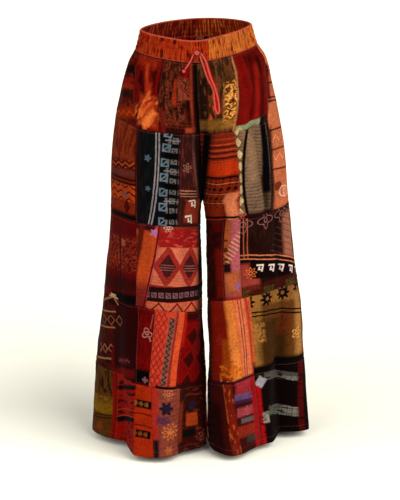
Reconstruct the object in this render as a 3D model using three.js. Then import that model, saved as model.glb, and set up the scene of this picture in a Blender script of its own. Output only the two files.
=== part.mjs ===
// Wide-legged patchwork trousers on a gathered elastic waist, in millimetres with +Z up.
// The front faces -Y. The origin is the middle of the waistband ring at half its height.
// Left and right are the viewer's, looking at the front.
import * as THREE from "three";

// Driving sizes
const BAND_TOP = 24;
const BAND_BOTTOM = -24;
const CROTCH = -388;
const CLOTH = 1.6;
const BAND_CLOTH = 3;
const SEAM_GAP = 0.3;
const HEM_RISE = 4;
const WAIST_TILT_DEGREES = 2.2;
const WAIST_DIP = 22;
const BAND_GATHERS_A_QUARTER = 35;
const BAND_RIB = 1.1;
const GATHER_PITCH = 16.5;
const COLUMN_PITCH = 16;
const CORD = 4;

// The closed outline at a level. left and right are the widths from the centre line, front and back
// the depths, parted says how far the two leg loops have come apart, middle is where they part,
// and shear sets the outer side of each leg back.
const SECTIONS = [
  { z: 24, left: 129, right: 129, front: 87, back: 93, parted: 0, middle: 0, shear: 0 },
  { z: -24, left: 142, right: 143, front: 96, back: 106, parted: 0.02, middle: 0, shear: 0 },
  { z: -60, left: 158, right: 162, front: 106, back: 118, parted: 0.12, middle: 1, shear: 0 },
  { z: -110, left: 176, right: 178, front: 114, back: 128, parted: 0.3, middle: 3, shear: 0 },
  { z: -170, left: 189, right: 190, front: 118, back: 133, parted: 0.46, middle: 6, shear: 0 },
  { z: -240, left: 198, right: 200, front: 120, back: 132, parted: 0.64, middle: 9, shear: 0.02 },
  { z: -320, left: 205, right: 209, front: 121, back: 128, parted: 0.84, middle: 11, shear: 0.04 },
  { z: -388, left: 208, right: 216, front: 122, back: 126, parted: 1, middle: 12, shear: 0.06 },
  { z: -480, left: 213, right: 223, front: 124, back: 128, parted: 1, middle: 12.5, shear: 0.09 },
  { z: -560, left: 223, right: 234, front: 127, back: 132, parted: 1, middle: 13.5, shear: 0.13 },
  { z: -650, left: 234, right: 246, front: 131, back: 138, parted: 1, middle: 15.5, shear: 0.18 },
  { z: -800, left: 254, right: 259, front: 137, back: 148, parted: 1, middle: 18, shear: 0.25 },
  { z: -998, left: 273, right: 273, front: 142, back: 160, parted: 1, middle: 20, shear: 0.32 },
];

// The space between the legs below the crotch
const LEG_GAP = [
  { z: -388, gap: 0.3 },
  { z: -403, gap: 9 },
  { z: -450, gap: 14 },
  { z: -750, gap: 13 },
  { z: -860, gap: 4 },
  { z: -998, gap: 2 },
];

// Places round a leg are angles: 0 is the inseam, 90 the front, 180 the side and 270 the back.
// A step sets the cloth back from its place outwards, over a reach that runs out towards the side.
const STEPS = [
  { leg: "left", top: 122, hem: 108, spread: 11, reach: 82, from: -560, depth: 80 },
  { leg: "right", top: 80, hem: 80, spread: 58, reach: 100, from: -330, depth: 106 },
  { leg: "right", top: 104, hem: 109, spread: 9, reach: 62, from: -420, depth: 66 },
];

// A flute stands out of the cloth, or into it where its depth is negative, from one level to another.
const FLUTES = [
  { leg: "right", top: 122, hem: 104, width: 6, depth: -13, from: -40, to: -560 },
  { leg: "left", top: 30, hem: 40, width: 26, depth: -34, from: -640, to: -1400 },
  { leg: "left", top: 60, hem: 72, width: 14, depth: 8, from: -380, to: -1100 },
  { leg: "left", top: 240, hem: 232, width: 16, depth: 26, from: -420, to: -1400 },
  { leg: "left", top: 262, hem: 262, width: 12, depth: -16, from: -300, to: -1400 },
  { leg: "left", top: 285, hem: 292, width: 16, depth: 22, from: -420, to: -1400 },
  { leg: "right", top: 232, hem: 228, width: 16, depth: 24, from: -420, to: -1400 },
  { leg: "right", top: 256, hem: 258, width: 12, depth: -18, from: -260, to: -1400 },
  { leg: "right", top: 282, hem: 288, width: 17, depth: 28, from: -380, to: -1400 },
];

// The seams that run round each leg, at the side line and at the centre or inseam line. They sink
// with the square of the way from the side to the middle.
const SEAMS = {
  left: [
    { side: -24, middle: -24 },
    { side: -176, middle: -198 },
    { side: -408, middle: -455 },
    { side: -614, middle: -660 },
    { side: -806, middle: -845 },
    { side: -996, middle: -996 },
  ],
  right: [
    { side: -24, middle: -24 },
    { side: -182, middle: -196 },
    { side: -394, middle: -442 },
    { side: -592, middle: -636 },
    { side: -799, middle: -836 },
    { side: -996, middle: -996 },
  ],
};

// Where the rows of points lie in each band of patches, as shares of its height.
// The second band, which has the crotch in it, gets two more rows from rowShares.
const ROWS = [
  [0, 0.12, 0.35, 0.65, 1],
  [0, 0.22, 0.44, 0.62, 0.92, 1],
  [0, 0.33, 0.66, 1],
  [0, 0.33, 0.66, 1],
  [0, 0.33, 0.66, 1],
];
const BELOW_CROTCH = 15;

// The height of the gathers under the waistband, from valley to ridge, down the first band
const GATHERS = [
  { share: 0, depth: 3 },
  { share: 0.12, depth: 6 },
  { share: 0.35, depth: 4.5 },
  { share: 0.65, depth: 2 },
  { share: 1, depth: 0 },
];

// Patches. Edges are millimetres of cloth from the side line, towards the front when positive and
// towards the back when negative, one for each seam that the patch meets from the top down.
// One on the centre line or the inseam is written as EDGE, and is held to where that lies.
const EDGE = 999;
const PATCHES = [
  { name: "left_front_1a", leg: "left", seam: 0, outer: [-40, -50], inner: [32, 112], color: "#5a1c12" },
  { name: "left_front_1b", leg: "left", seam: 0, outer: [32, 112], inner: [112, 177], color: "#b8431c" },
  { name: "left_front_1c", leg: "left", seam: 0, outer: [112, 177], inner: [EDGE, EDGE], color: "#3a1513" },
  { name: "left_front_2a", leg: "left", seam: 1, outer: [-70, -80], inner: [113, 141], color: "#74301a" },
  { name: "left_front_2b", leg: "left", seam: 1, outer: [113, 141], inner: [226, 243], color: "#14181d" },
  { name: "left_front_2c", leg: "left", seam: 1, outer: [226, 243], inner: [EDGE, EDGE], color: "#301412" },
  { name: "left_front_3a", leg: "left", seam: 2, outer: [-60, -60], inner: [142, 167], color: "#3c0f10" },
  { name: "left_front_3b", leg: "left", seam: 2, outer: [142, 167], inner: [200, 190], color: "#a8481d" },
  { name: "left_front_3c", leg: "left", seam: 2, outer: [200, 190], inner: [EDGE, EDGE], color: "#84202a" },
  { name: "left_front_4a", leg: "left", seam: 3, outer: [-60, -70], inner: [170, 203], color: "#1c0c10" },
  { name: "left_front_4b", leg: "left", seam: 3, outer: [170, 203], inner: [216, 238], color: "#761119" },
  { name: "left_front_4c", leg: "left", seam: 3, outer: [216, 238], inner: [296, 311], color: "#b5502c" },
  { name: "left_front_4d", leg: "left", seam: 3, outer: [296, 311], inner: [EDGE, EDGE], color: "#5e1412" },
  { name: "left_front_5a", leg: "left", seam: 4, outer: [-80, -90], inner: [118, 106], color: "#4a3412" },
  { name: "left_front_5b", leg: "left", seam: 4, outer: [118, 106], inner: [245, 278], color: "#a3200f" },
  { name: "left_front_5c", leg: "left", seam: 4, outer: [245, 278], inner: [328, 348], color: "#b04a36" },
  { name: "left_front_5d", leg: "left", seam: 4, outer: [328, 348], inner: [EDGE, EDGE], color: "#331211" },
  { name: "right_front_1a", leg: "right", seam: 0, outer: [102, 174], inner: [EDGE, EDGE], color: "#5c4a18" },
  { name: "right_front_1b", leg: "right", seam: 0, outer: [12, 80], inner: [102, 174], color: "#7e1218" },
  { name: "right_front_1c", leg: "right", seam: 0, outer: [-40, -50, -50], inner: [12, 80, 110], color: "#b5552f" },
  { name: "right_front_2a", leg: "right", seam: 1, outer: [176, 200], inner: [EDGE, EDGE], color: "#9c2612" },
  { name: "right_front_2b", leg: "right", seam: 1, outer: [80, 110], inner: [176, 200], color: "#5f5846" },
  { name: "right_front_3a", leg: "right", seam: 2, outer: [236, 249], inner: [EDGE, EDGE], color: "#300d0c" },
  { name: "right_front_3b", leg: "right", seam: 2, outer: [196, 206], inner: [236, 249], color: "#a94a48" },
  { name: "right_front_3c", leg: "right", seam: 2, outer: [-50, -55], inner: [196, 206], color: "#2a1512" },
  { name: "right_front_4a", leg: "right", seam: 3, outer: [196, 193], inner: [EDGE, EDGE], color: "#b0521a" },
  { name: "right_front_4b", leg: "right", seam: 3, outer: [-60, -60], inner: [196, 193], color: "#6f5a1c" },
  { name: "right_front_5a", leg: "right", seam: 4, outer: [192, 190], inner: [EDGE, EDGE], color: "#6b1413" },
  { name: "right_front_5b", leg: "right", seam: 4, outer: [-90, -100], inner: [192, 190], color: "#150d0f" },
  { name: "left_back_1a", leg: "left", seam: 0, outer: [-115, -160], inner: [-40, -50], color: "#8c3a1a" },
  { name: "left_back_1b", leg: "left", seam: 0, outer: [-EDGE, -EDGE], inner: [-115, -160], color: "#5f4c1a" },
  { name: "left_back_2a", leg: "left", seam: 1, outer: [-165, -215], inner: [-70, -80], color: "#8a1d1a" },
  { name: "left_back_2b", leg: "left", seam: 1, outer: [-EDGE, -EDGE], inner: [-165, -215], color: "#1b2228" },
  { name: "left_back_3a", leg: "left", seam: 2, outer: [-170, -185], inner: [-60, -60], color: "#b0561f" },
  { name: "left_back_3b", leg: "left", seam: 2, outer: [-275, -310], inner: [-170, -185], color: "#301411" },
  { name: "left_back_3c", leg: "left", seam: 2, outer: [-EDGE, -EDGE], inner: [-275, -310], color: "#93302b" },
  { name: "left_back_4a", leg: "left", seam: 3, outer: [-240, -265], inner: [-60, -70], color: "#6d5820" },
  { name: "left_back_4b", leg: "left", seam: 3, outer: [-EDGE, -EDGE], inner: [-240, -265], color: "#7a1917" },
  { name: "left_back_5a", leg: "left", seam: 4, outer: [-290, -310], inner: [-80, -90], color: "#38120f" },
  { name: "left_back_5b", leg: "left", seam: 4, outer: [-EDGE, -EDGE], inner: [-290, -310], color: "#b04a22" },
  { name: "right_back_1a", leg: "right", seam: 0, outer: [-120, -165], inner: [-40, -50], color: "#431512" },
  { name: "right_back_1b", leg: "right", seam: 0, outer: [-EDGE, -EDGE], inner: [-120, -165], color: "#b2401c" },
  { name: "right_back_2a", leg: "right", seam: 1, outer: [-150, -190], inner: [-50, -50], color: "#6b6046" },
  { name: "right_back_2b", leg: "right", seam: 1, outer: [-EDGE, -EDGE], inner: [-150, -190], color: "#7c1a16" },
  { name: "right_back_3a", leg: "right", seam: 2, outer: [-230, -255], inner: [-50, -55], color: "#9a3f1c" },
  { name: "right_back_3b", leg: "right", seam: 2, outer: [-EDGE, -EDGE], inner: [-230, -255], color: "#2a1213" },
  { name: "right_back_4a", leg: "right", seam: 3, outer: [-190, -205], inner: [-60, -60], color: "#1d1216" },
  { name: "right_back_4b", leg: "right", seam: 3, outer: [-330, -360], inner: [-190, -205], color: "#a8421c" },
  { name: "right_back_4c", leg: "right", seam: 3, outer: [-EDGE, -EDGE], inner: [-330, -360], color: "#6a1513" },
  { name: "right_back_5a", leg: "right", seam: 4, outer: [-300, -320], inner: [-90, -100], color: "#9c2614" },
  { name: "right_back_5b", leg: "right", seam: 4, outer: [-EDGE, -EDGE], inner: [-300, -320], color: "#5d4716" },
];

// Waistband lengths, from and to in quarters of the way round: 0 is the centre front, 1 the right
// side, 2 the centre back and 3 the left side
const BAND_PIECES = [
  { name: "waistband_front_left", from: 3, to: 4.16, color: "#a2331b" },
  { name: "waistband_front_right", from: 0.16, to: 1, color: "#bd5c1e" },
  { name: "waistband_back_right", from: 1, to: 2, color: "#a94a1e" },
  { name: "waistband_back_left", from: 2, to: 3, color: "#96321c" },
];

// The drawstring lies on the front: x, the height z and how far its centre stands off the cloth
const KNOT = { x: 2, z: -25, off: 8.4, wide: 13, deep: 9, high: 11 };
const SHORT_END = [
  { x: -5.8, z: -27.5, off: 5.6 },
  { x: -12, z: -41, off: 6 },
  { x: -19, z: -52, off: 6.2 },
  { x: -26, z: -62, off: 6 },
];
const LONG_LOOP = [
  { x: 8.2, z: -30.2, off: 6.4 },
  { x: 16, z: -54, off: 6.6 },
  { x: 26, z: -83, off: 7 },
  { x: 38, z: -107, off: 8 },
  { x: 41, z: -137, off: 9 },
  { x: 44.6, z: -156, off: 9.6 },
  { x: 49, z: -161, off: 9.6 },
  { x: 51.2, z: -156, off: 9.8 },
  { x: 50.4, z: -136, off: 9.6 },
  { x: 42.6, z: -103, off: 12 },
  { x: 32, z: -77, off: 11 },
  { x: 21, z: -42, off: 8.4 },
  { x: 10.4, z: -25, off: 7.2 },
];
const END_KNOT = { x: -28.6, z: -66, off: 6, wide: 8, deep: 7, high: 7.4 };

const RADIANS = Math.PI / 180;
const SAMPLES = 120;

function smooth(share) {
  const held = Math.min(1, Math.max(0, share));
  return held * held * (3 - 2 * held);
}

// A table's column at a level between its rows, as a curve that never overshoots
function blend(table, z, column) {
  let row = 0;
  while (row < table.length - 2 && z < table[row + 1].z) row += 1;
  const above = table[row];
  const below = table[row + 1];
  const earlier = table[Math.max(row - 1, 0)];
  const later = table[Math.min(row + 2, table.length - 1)];
  const span = below.z - above.z;
  const share = Math.min(1, Math.max(0, (z - above.z) / span));
  const slope = (below[column] - above[column]) / span;
  const slopeBefore = earlier === above ? slope : (above[column] - earlier[column]) / (above.z - earlier.z);
  const slopeAfter = later === below ? slope : (later[column] - below[column]) / (later.z - below.z);
  const startSlope = slopeBefore * slope > 0 ? (2 * slopeBefore * slope) / (slopeBefore + slope) : 0;
  const endSlope = slopeAfter * slope > 0 ? (2 * slopeAfter * slope) / (slopeAfter + slope) : 0;
  return (
    (2 * share ** 3 - 3 * share ** 2 + 1) * above[column] +
    (share ** 3 - 2 * share ** 2 + share) * startSlope * span +
    (3 * share ** 2 - 2 * share ** 3) * below[column] +
    (share ** 3 - share ** 2) * endSlope * span
  );
}

// How far the folds move the cloth at an angle round a leg: back for a step, out for a flute
function foldShift(leg, z, angle, outwards) {
  let x = 0;
  let y = 0;
  for (const step of STEPS.filter((row) => row.leg === leg)) {
    const grown = smooth((step.from - z) / (step.from + 1050));
    const place = step.top + (step.hem - step.top) * grown;
    const rise = smooth((angle - place) / step.spread + 0.5);
    const runOut = Math.max(0, 1 - Math.max(0, angle - place) / step.reach);
    y += step.depth * grown * rise * runOut;
  }
  for (const flute of FLUTES.filter((row) => row.leg === leg)) {
    const along = Math.min(1, Math.max(0, (flute.from - z) / (flute.from + 998)));
    const place = flute.top + (flute.hem - flute.top) * along;
    const grown = smooth((flute.from - z) / 260) * smooth((z - flute.to) / 260);
    const swell = flute.depth * grown * Math.exp(-(((angle - place) / flute.width) ** 2));
    x += swell * outwards.x;
    y += swell * outwards.y;
  }
  return { x, y };
}

// The outline of one leg's half of the garment at a level, from the centre front or inseam line
// round the front, the side and the back, with the length of cloth up to each of its points
const outlines = new Map();
function outline(leg, z) {
  const key = leg + z.toFixed(4);
  if (outlines.has(key)) return outlines.get(key);
  const way = leg === "left" ? -1 : 1;
  const parted = blend(SECTIONS, z, "parted");
  const middle = blend(SECTIONS, z, "middle");
  const reach = blend(SECTIONS, z, leg) - way * middle;
  const clear = z > CROTCH ? SEAM_GAP / 2 : blend(LEG_GAP, z, "gap") / 2;
  const halfWidth = parted >= 0.9999 ? (reach - clear) / 2 : reach / (1 + parted);
  const centre = reach - halfWidth;
  const start = Math.acos(Math.min(1, Math.max(-1, (centre - clear) / halfWidth)));
  const shear = blend(SECTIONS, z, "shear");
  const base = [];
  const shifts = [];
  for (let i = 0; i <= 2 * SAMPLES; i += 1) {
    const turn = i <= SAMPLES
      ? start + ((Math.PI - start) * i) / SAMPLES
      : Math.PI + ((Math.PI - start) * (i - SAMPLES)) / SAMPLES;
    const depth = blend(SECTIONS, z, i <= SAMPLES ? "front" : "back");
    const x = centre - halfWidth * Math.cos(turn);
    const y = -depth * Math.sin(turn) + shear * (x - centre);
    const outwards = new THREE.Vector2(-Math.cos(turn) / halfWidth, -Math.sin(turn) / depth).normalize();
    base.push({ x, y, angle: turn / RADIANS });
    shifts.push(foldShift(leg, z, turn / RADIANS, outwards));
  }
  const points = base.map(({ x, y, angle }, i) => {
    let weight = 0;
    let shiftX = 0;
    let shiftY = 0;
    for (let k = -2; k <= 2; k += 1) {
      const near = shifts[Math.min(2 * SAMPLES, Math.max(0, i + k))];
      const share = 3 - Math.abs(k);
      weight += share;
      shiftX += share * near.x;
      shiftY += share * near.y;
    }
    const across = Math.max(clear, x + shiftX / weight);
    return { x: way * across + middle, y: y + shiftY / weight, angle };
  });
  const run = [0];
  for (let i = 1; i < points.length; i += 1) {
    const step = Math.hypot(points[i].x - points[i - 1].x, points[i].y - points[i - 1].y);
    run.push(run[i - 1] + step);
  }
  const facings = points.map((point, i) => {
    const before = points[Math.max(0, i - 1)];
    const after = points[Math.min(2 * SAMPLES, i + 1)];
    return new THREE.Vector3(way * (after.y - before.y), way * (before.x - after.x), 0).normalize();
  });
  const made = { points, facings, run, front: run[SAMPLES], back: run[2 * SAMPLES] - run[SAMPLES] };
  outlines.set(key, made);
  return made;
}

// How far the cloth hangs above or below its level: the waist dips in front and tilts, the
// drawstring pulls the centre front down, and the hem rises on the outside
function lift(x, y, z, angle) {
  const waist = 1 - smooth((BAND_TOP - z) / 560);
  const dip = y < 0 ? Math.max(-27, -WAIST_DIP * (y / 100) ** 2) : 8 * (y / 100) ** 2;
  const pull = y < 0 ? -5 * smooth(1 - Math.abs(x) / 75) * (1 - smooth((BAND_TOP - z) / 200)) : 0;
  const outside = smooth((angle - 98) / 30) * smooth((355 - angle) / 90);
  const hem = HEM_RISE * smooth((-560 - z) / 438) * outside;
  return waist * (dip + x * Math.tan(WAIST_TILT_DEGREES * RADIANS)) + pull + hem;
}

// The point on the cloth at a distance from the side line, with the way that it faces
function clothPoint(leg, fromSide, z) {
  const { points, run, front, facings } = outline(leg, z);
  const goal = Math.min(run[2 * SAMPLES], Math.max(0, front - fromSide));
  let low = 0;
  let high = 2 * SAMPLES;
  while (high - low > 1) {
    const half = (low + high) >> 1;
    if (run[half] <= goal) low = half;
    else high = half;
  }
  const share = (goal - run[low]) / (run[high] - run[low]);
  const x = points[low].x + share * (points[high].x - points[low].x);
  const y = points[low].y + share * (points[high].y - points[low].y);
  const angle = points[low].angle + share * (points[high].angle - points[low].angle);
  const facing = facings[low].clone().lerp(facings[high], share).normalize();
  return { place: new THREE.Vector3(x, y, z + lift(x, y, z, angle)), facing };
}

// A closed wall from two grids of points, outer and inner, with the outer one facing out
function wall(outerRows, innerRows, flipped) {
  const rows = outerRows.length;
  const columns = outerRows[0].length;
  const vertices = [...outerRows.flat(), ...innerRows.flat()];
  const faces = [];
  const outer = (row, column) => row * columns + column;
  const inner = (row, column) => rows * columns + row * columns + column;
  const addQuad = (a, b, c, d) => {
    if (flipped) faces.push(a, c, b, a, d, c);
    else faces.push(a, b, c, a, c, d);
  };
  for (let row = 0; row < rows - 1; row += 1) {
    for (let column = 0; column < columns - 1; column += 1) {
      addQuad(outer(row, column), outer(row + 1, column), outer(row + 1, column + 1), outer(row, column + 1));
      addQuad(inner(row, column), inner(row, column + 1), inner(row + 1, column + 1), inner(row + 1, column));
    }
  }
  for (let column = 0; column < columns - 1; column += 1) {
    addQuad(outer(0, column), outer(0, column + 1), inner(0, column + 1), inner(0, column));
    const last = rows - 1;
    addQuad(inner(last, column), inner(last, column + 1), outer(last, column + 1), outer(last, column));
  }
  for (let row = 0; row < rows - 1; row += 1) {
    addQuad(inner(row, 0), inner(row + 1, 0), outer(row + 1, 0), outer(row, 0));
    const last = columns - 1;
    addQuad(outer(row + 1, last), inner(row + 1, last), inner(row, last), outer(row, last));
  }
  const geometry = new THREE.BufferGeometry();
  const positions = vertices.flatMap((vertex) => [vertex.x, vertex.y, vertex.z]);
  geometry.setAttribute("position", new THREE.Float32BufferAttribute(positions, 3));
  geometry.setIndex(faces);
  geometry.computeVertexNormals();
  return geometry;
}

// An edge of a patch at a place down it, where 0 is its first seam, 1 its second and so on
function edgeAt(edges, down) {
  const row = Math.min(edges.length - 2, Math.floor(down));
  return edges[row] + (edges[row + 1] - edges[row]) * (down - row);
}

// A point of a patch: its distance from the side line, and a level that follows the seams
function patchPoint(leg, fromSide, seam, share, inset) {
  const above = SEAMS[leg][seam];
  const below = SEAMS[leg][seam + 1];
  const middle = above.middle + (below.middle - above.middle) * share;
  const side = above.side + (below.side - above.side) * share;
  const { front, back } = outline(leg, middle);
  const towards = Math.min(1, fromSide > 0 ? fromSide / front : -fromSide / back) ** 2;
  const z = side + (middle - side) * towards + inset;
  const { front: frontHere, back: backHere } = outline(leg, z);
  const held = Math.min(frontHere - SEAM_GAP / 2, Math.max(SEAM_GAP / 2 - backHere, fromSide));
  return clothPoint(leg, held, z);
}

// The rows of a band, with one on the crotch and one just below it in the second
function rowShares(leg, seam) {
  if (seam !== 1) return ROWS[seam];
  const above = SEAMS[leg][seam].middle;
  const height = SEAMS[leg][seam + 1].middle - above;
  const crotchRows = [(CROTCH - above) / height, (CROTCH - BELOW_CROTCH - above) / height];
  return [...ROWS[seam], ...crotchRows].sort((one, other) => one - other);
}

function gatherDepth(share) {
  const table = GATHERS.map((row) => ({ z: -row.share, depth: row.depth }));
  return blend(table, -share, "depth");
}

function patchGeometry({ leg, seam, outer, inner }) {
  const bands = outer.length - 1;
  const widths = outer.map((edge, i) => {
    const { front, back } = outline(leg, SEAMS[leg][seam + i].middle);
    return Math.min(front, inner[i]) - Math.max(-back, edge);
  });
  const gathered = seam === 0;
  const widest = (widths[0] + widths[1]) / 2;
  const columns = gathered
    ? 2 * Math.max(2, Math.round(widths[0] / GATHER_PITCH))
    : Math.max(3, Math.round(widest / COLUMN_PITCH));
  const outerRows = [];
  const innerRows = [];
  for (let band = 0; band < bands; band += 1) {
    rowShares(leg, seam + band).forEach((share, row) => {
      if (band > 0 && row === 0) return;
      const first = band === 0 && row === 0;
      const last = band === bands - 1 && share === 1;
      const inset = (first ? -SEAM_GAP / 2 : 0) + (last ? SEAM_GAP / 2 : 0);
      const { front, back } = outline(leg, SEAMS[leg][seam + band].middle * (1 - share)
        + SEAMS[leg][seam + band + 1].middle * share);
      const from = Math.max(-back, edgeAt(outer, band + share)) + SEAM_GAP / 2;
      const to = Math.min(front, edgeAt(inner, band + share)) - SEAM_GAP / 2;
      const depth = gathered && band === 0 ? gatherDepth(share) : 0;
      const outerRow = [];
      const innerRow = [];
      for (let column = 0; column <= columns; column += 1) {
        const fromSide = from + ((to - from) * column) / columns;
        const { place, facing } = patchPoint(leg, fromSide, seam + band, share, inset);
        const raised = column % 2 === 1 ? depth / 2 : -depth / 2;
        const skin = place.clone().addScaledVector(facing, raised);
        outerRow.push(skin);
        innerRow.push(skin.clone().addScaledVector(facing, -CLOTH));
      }
      outerRows.push(outerRow);
      innerRows.push(innerRow);
    });
  }
  return wall(outerRows, innerRows, leg === "right");
}

// A place on the waistband, in quarters round from the centre front towards the right side
function bandPoint(quarters, z) {
  const turned = quarters % 4;
  const leg = turned <= 2 ? "right" : "left";
  const fromFront = leg === "right" ? turned : 4 - turned;
  const { front, back } = outline(leg, z);
  const fromSide = fromFront <= 1 ? front * (1 - fromFront) : -back * (fromFront - 1);
  return clothPoint(leg, fromSide, z);
}

// The waistband is shirred: fine upright ribs stand on its outside over a plain inside
function bandGeometry({ from, to }) {
  const columns = 2 * Math.round((to - from) * BAND_GATHERS_A_QUARTER);
  const levels = [
    { z: BAND_TOP, rib: 0.3 },
    { z: BAND_TOP - 6, rib: 1 },
    { z: BAND_BOTTOM + 6, rib: 1 },
    { z: BAND_BOTTOM + SEAM_GAP / 2, rib: 0.3 },
  ];
  const edge = SEAM_GAP / 2 / 190;
  const outerRows = [];
  const innerRows = [];
  for (const { z, rib } of levels) {
    const outerRow = [];
    const innerRow = [];
    for (let column = 0; column <= columns; column += 1) {
      const quarters = from + edge + ((to - from - 2 * edge) * column) / columns;
      const { place, facing } = bandPoint(quarters, z);
      const raised = column % 2 === 1 ? BAND_RIB * rib : 0;
      outerRow.push(place.clone().addScaledVector(facing, raised));
      innerRow.push(place.clone().addScaledVector(facing, -BAND_CLOTH));
    }
    outerRows.push(outerRow);
    innerRows.push(innerRow);
  }
  return wall(outerRows, innerRows, false);
}

// A place in front of the cloth at an x and a height, for what hangs over it
function beforeCloth({ x, z, off }) {
  let nearest = null;
  for (let level = BAND_TOP; level > -260; level -= 1) {
    for (let fromSide = 60; fromSide < 300; fromSide += 2) {
      const { place } = clothPoint(x < 0 ? "left" : "right", fromSide, level);
      const miss = Math.hypot(place.x - x, place.z - z);
      if (nearest === null || miss < nearest.miss) nearest = { miss, y: place.y };
      if (fromSide > outline(x < 0 ? "left" : "right", level).front) break;
    }
  }
  return new THREE.Vector3(x, nearest.y - off, z);
}

// A cord along a smooth line through its places
function cordGeometry(places, steps) {
  const line = new THREE.CatmullRomCurve3(places.map(beforeCloth), false, "centripetal");
  const round = new THREE.Shape();
  for (let side = 0; side < 8; side += 1) {
    const turn = (side * Math.PI) / 4;
    const corner = [(CORD / 2) * Math.cos(turn), (CORD / 2) * Math.sin(turn)];
    if (side === 0) round.moveTo(...corner);
    else round.lineTo(...corner);
  }
  round.closePath();
  return new THREE.ExtrudeGeometry(round, { steps, extrudePath: line, bevelEnabled: false });
}

const trousers = new THREE.Group();

function addPiece(name, geometry, color) {
  const material = new THREE.MeshStandardMaterial({ color, roughness: 0.85, metalness: 0 });
  const piece = new THREE.Mesh(geometry, material);
  piece.name = name;
  trousers.add(piece);
  return piece;
}

for (const patch of PATCHES) addPiece(patch.name, patchGeometry(patch), patch.color);
for (const piece of BAND_PIECES) addPiece(piece.name, bandGeometry(piece), piece.color);

// The drawstring's knot, its short end with an end knot, and its long hanging loop
for (const [name, knot] of [["drawstring_knot", KNOT], ["drawstring_end_knot", END_KNOT]]) {
  const piece = addPiece(name, new THREE.SphereGeometry(0.5, 14, 9), "#b8262a");
  piece.scale.set(knot.wide, knot.deep, knot.high);
  piece.position.copy(beforeCloth(knot));
}
addPiece("drawstring_short_end", cordGeometry(SHORT_END, 8), "#b8262a");
addPiece("drawstring_long_loop", cordGeometry(LONG_LOOP, 40), "#a81f24");

export default trousers;
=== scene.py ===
import math

import bpy
import numpy as np
from mathutils import Matrix, Vector


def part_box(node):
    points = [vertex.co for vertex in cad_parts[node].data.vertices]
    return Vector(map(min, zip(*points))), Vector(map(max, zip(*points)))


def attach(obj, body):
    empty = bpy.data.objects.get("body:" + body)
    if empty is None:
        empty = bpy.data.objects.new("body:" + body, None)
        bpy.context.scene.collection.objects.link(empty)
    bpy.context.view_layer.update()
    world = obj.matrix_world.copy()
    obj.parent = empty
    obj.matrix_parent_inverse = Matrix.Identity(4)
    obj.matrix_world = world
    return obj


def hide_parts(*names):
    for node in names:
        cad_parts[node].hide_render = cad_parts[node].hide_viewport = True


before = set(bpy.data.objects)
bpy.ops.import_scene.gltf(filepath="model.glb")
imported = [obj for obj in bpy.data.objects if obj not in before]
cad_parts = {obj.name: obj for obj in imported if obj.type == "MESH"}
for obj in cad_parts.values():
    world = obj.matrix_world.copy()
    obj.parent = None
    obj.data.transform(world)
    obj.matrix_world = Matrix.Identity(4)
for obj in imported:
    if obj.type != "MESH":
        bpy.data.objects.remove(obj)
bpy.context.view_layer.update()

scene = bpy.context.scene

# Camera: half a metre above the waistband and four metres in front, looking down by 15 degrees.
camera_data = bpy.data.cameras.new("camera")
camera = bpy.data.objects.new("camera", camera_data)
scene.collection.objects.link(camera)
camera_data.lens = 122.4
camera_data.sensor_width = 36.0
camera.matrix_world = (
    Matrix.Translation((0.0042, -3.970, 0.546))
    @ Matrix.Rotation(math.radians(75.0), 4, "X")
    @ Matrix.Rotation(math.radians(-0.6), 4, "Z")
)
scene.camera = camera
scene.view_settings.view_transform = "Standard"

# Drawstring: a soft cotton cord of three twisted strands, 4 mm thick. It comes out of its casing low
# on the waistband, is tied in one knot, and leaves a short end with its own knot and one long bow loop.
CORD_RADIUS = 0.002
CORD_TWIST = 0.011
CORD_STEP = 0.0008
SHORT_END_ROUTE = [
    (-0.0058, -0.0976, -0.0275),
    (-0.0120, -0.1003, -0.0410),
    (-0.0190, -0.1026, -0.0520),
    (-0.0260, -0.1045, -0.0620),
]
LONG_LOOP_ROUTE = [
    (0.0082, -0.0988, -0.0302),
    (0.0160, -0.1040, -0.0540),
    (0.0260, -0.1124, -0.0830),
    (0.0380, -0.1182, -0.1070),
    (0.0410, -0.1234, -0.1370),
    (0.0446, -0.1254, -0.1560),
    (0.0490, -0.1259, -0.1610),
    (0.0512, -0.1259, -0.1560),
    (0.0504, -0.1240, -0.1360),
    (0.0426, -0.1213, -0.1030),
    (0.0320, -0.1149, -0.0770),
    (0.0210, -0.1028, -0.0420),
    (0.0104, -0.0986, -0.0250),
]


def rounded_route(points, spacing):
    """A smooth line through the points, with its own points about spacing apart."""
    places = np.array(points)
    places = np.vstack([2 * places[0] - places[1], places, 2 * places[-1] - places[-2]])
    steps = np.sqrt(np.linalg.norm(np.diff(places, axis=0), axis=1))
    knots = np.concatenate([[0], np.cumsum(steps)])
    line = []
    for i in range(1, len(places) - 2):
        t0, t1, t2, t3 = knots[i - 1:i + 3]
        p0, p1, p2, p3 = places[i - 1:i + 3]
        count = max(2, int(np.linalg.norm(p2 - p1) / spacing * 4))
        for t in np.linspace(t1, t2, count, endpoint=False):
            a1 = p0 + (p1 - p0) * (t - t0) / (t1 - t0)
            a2 = p1 + (p2 - p1) * (t - t1) / (t2 - t1)
            a3 = p2 + (p3 - p2) * (t - t2) / (t3 - t2)
            b1 = a1 + (a2 - a1) * (t - t0) / (t2 - t0)
            b2 = a2 + (a3 - a2) * (t - t1) / (t3 - t1)
            line.append(b1 + (b2 - b1) * (t - t1) / (t2 - t1))
    line.append(places[-2])
    line = np.array(line)
    run = np.concatenate([[0], np.cumsum(np.linalg.norm(np.diff(line, axis=0), axis=1))])
    goals = np.linspace(0, run[-1], int(run[-1] / spacing) + 1)
    return np.stack([np.interp(goals, run, line[:, k]) for k in range(3)], axis=1)


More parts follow.
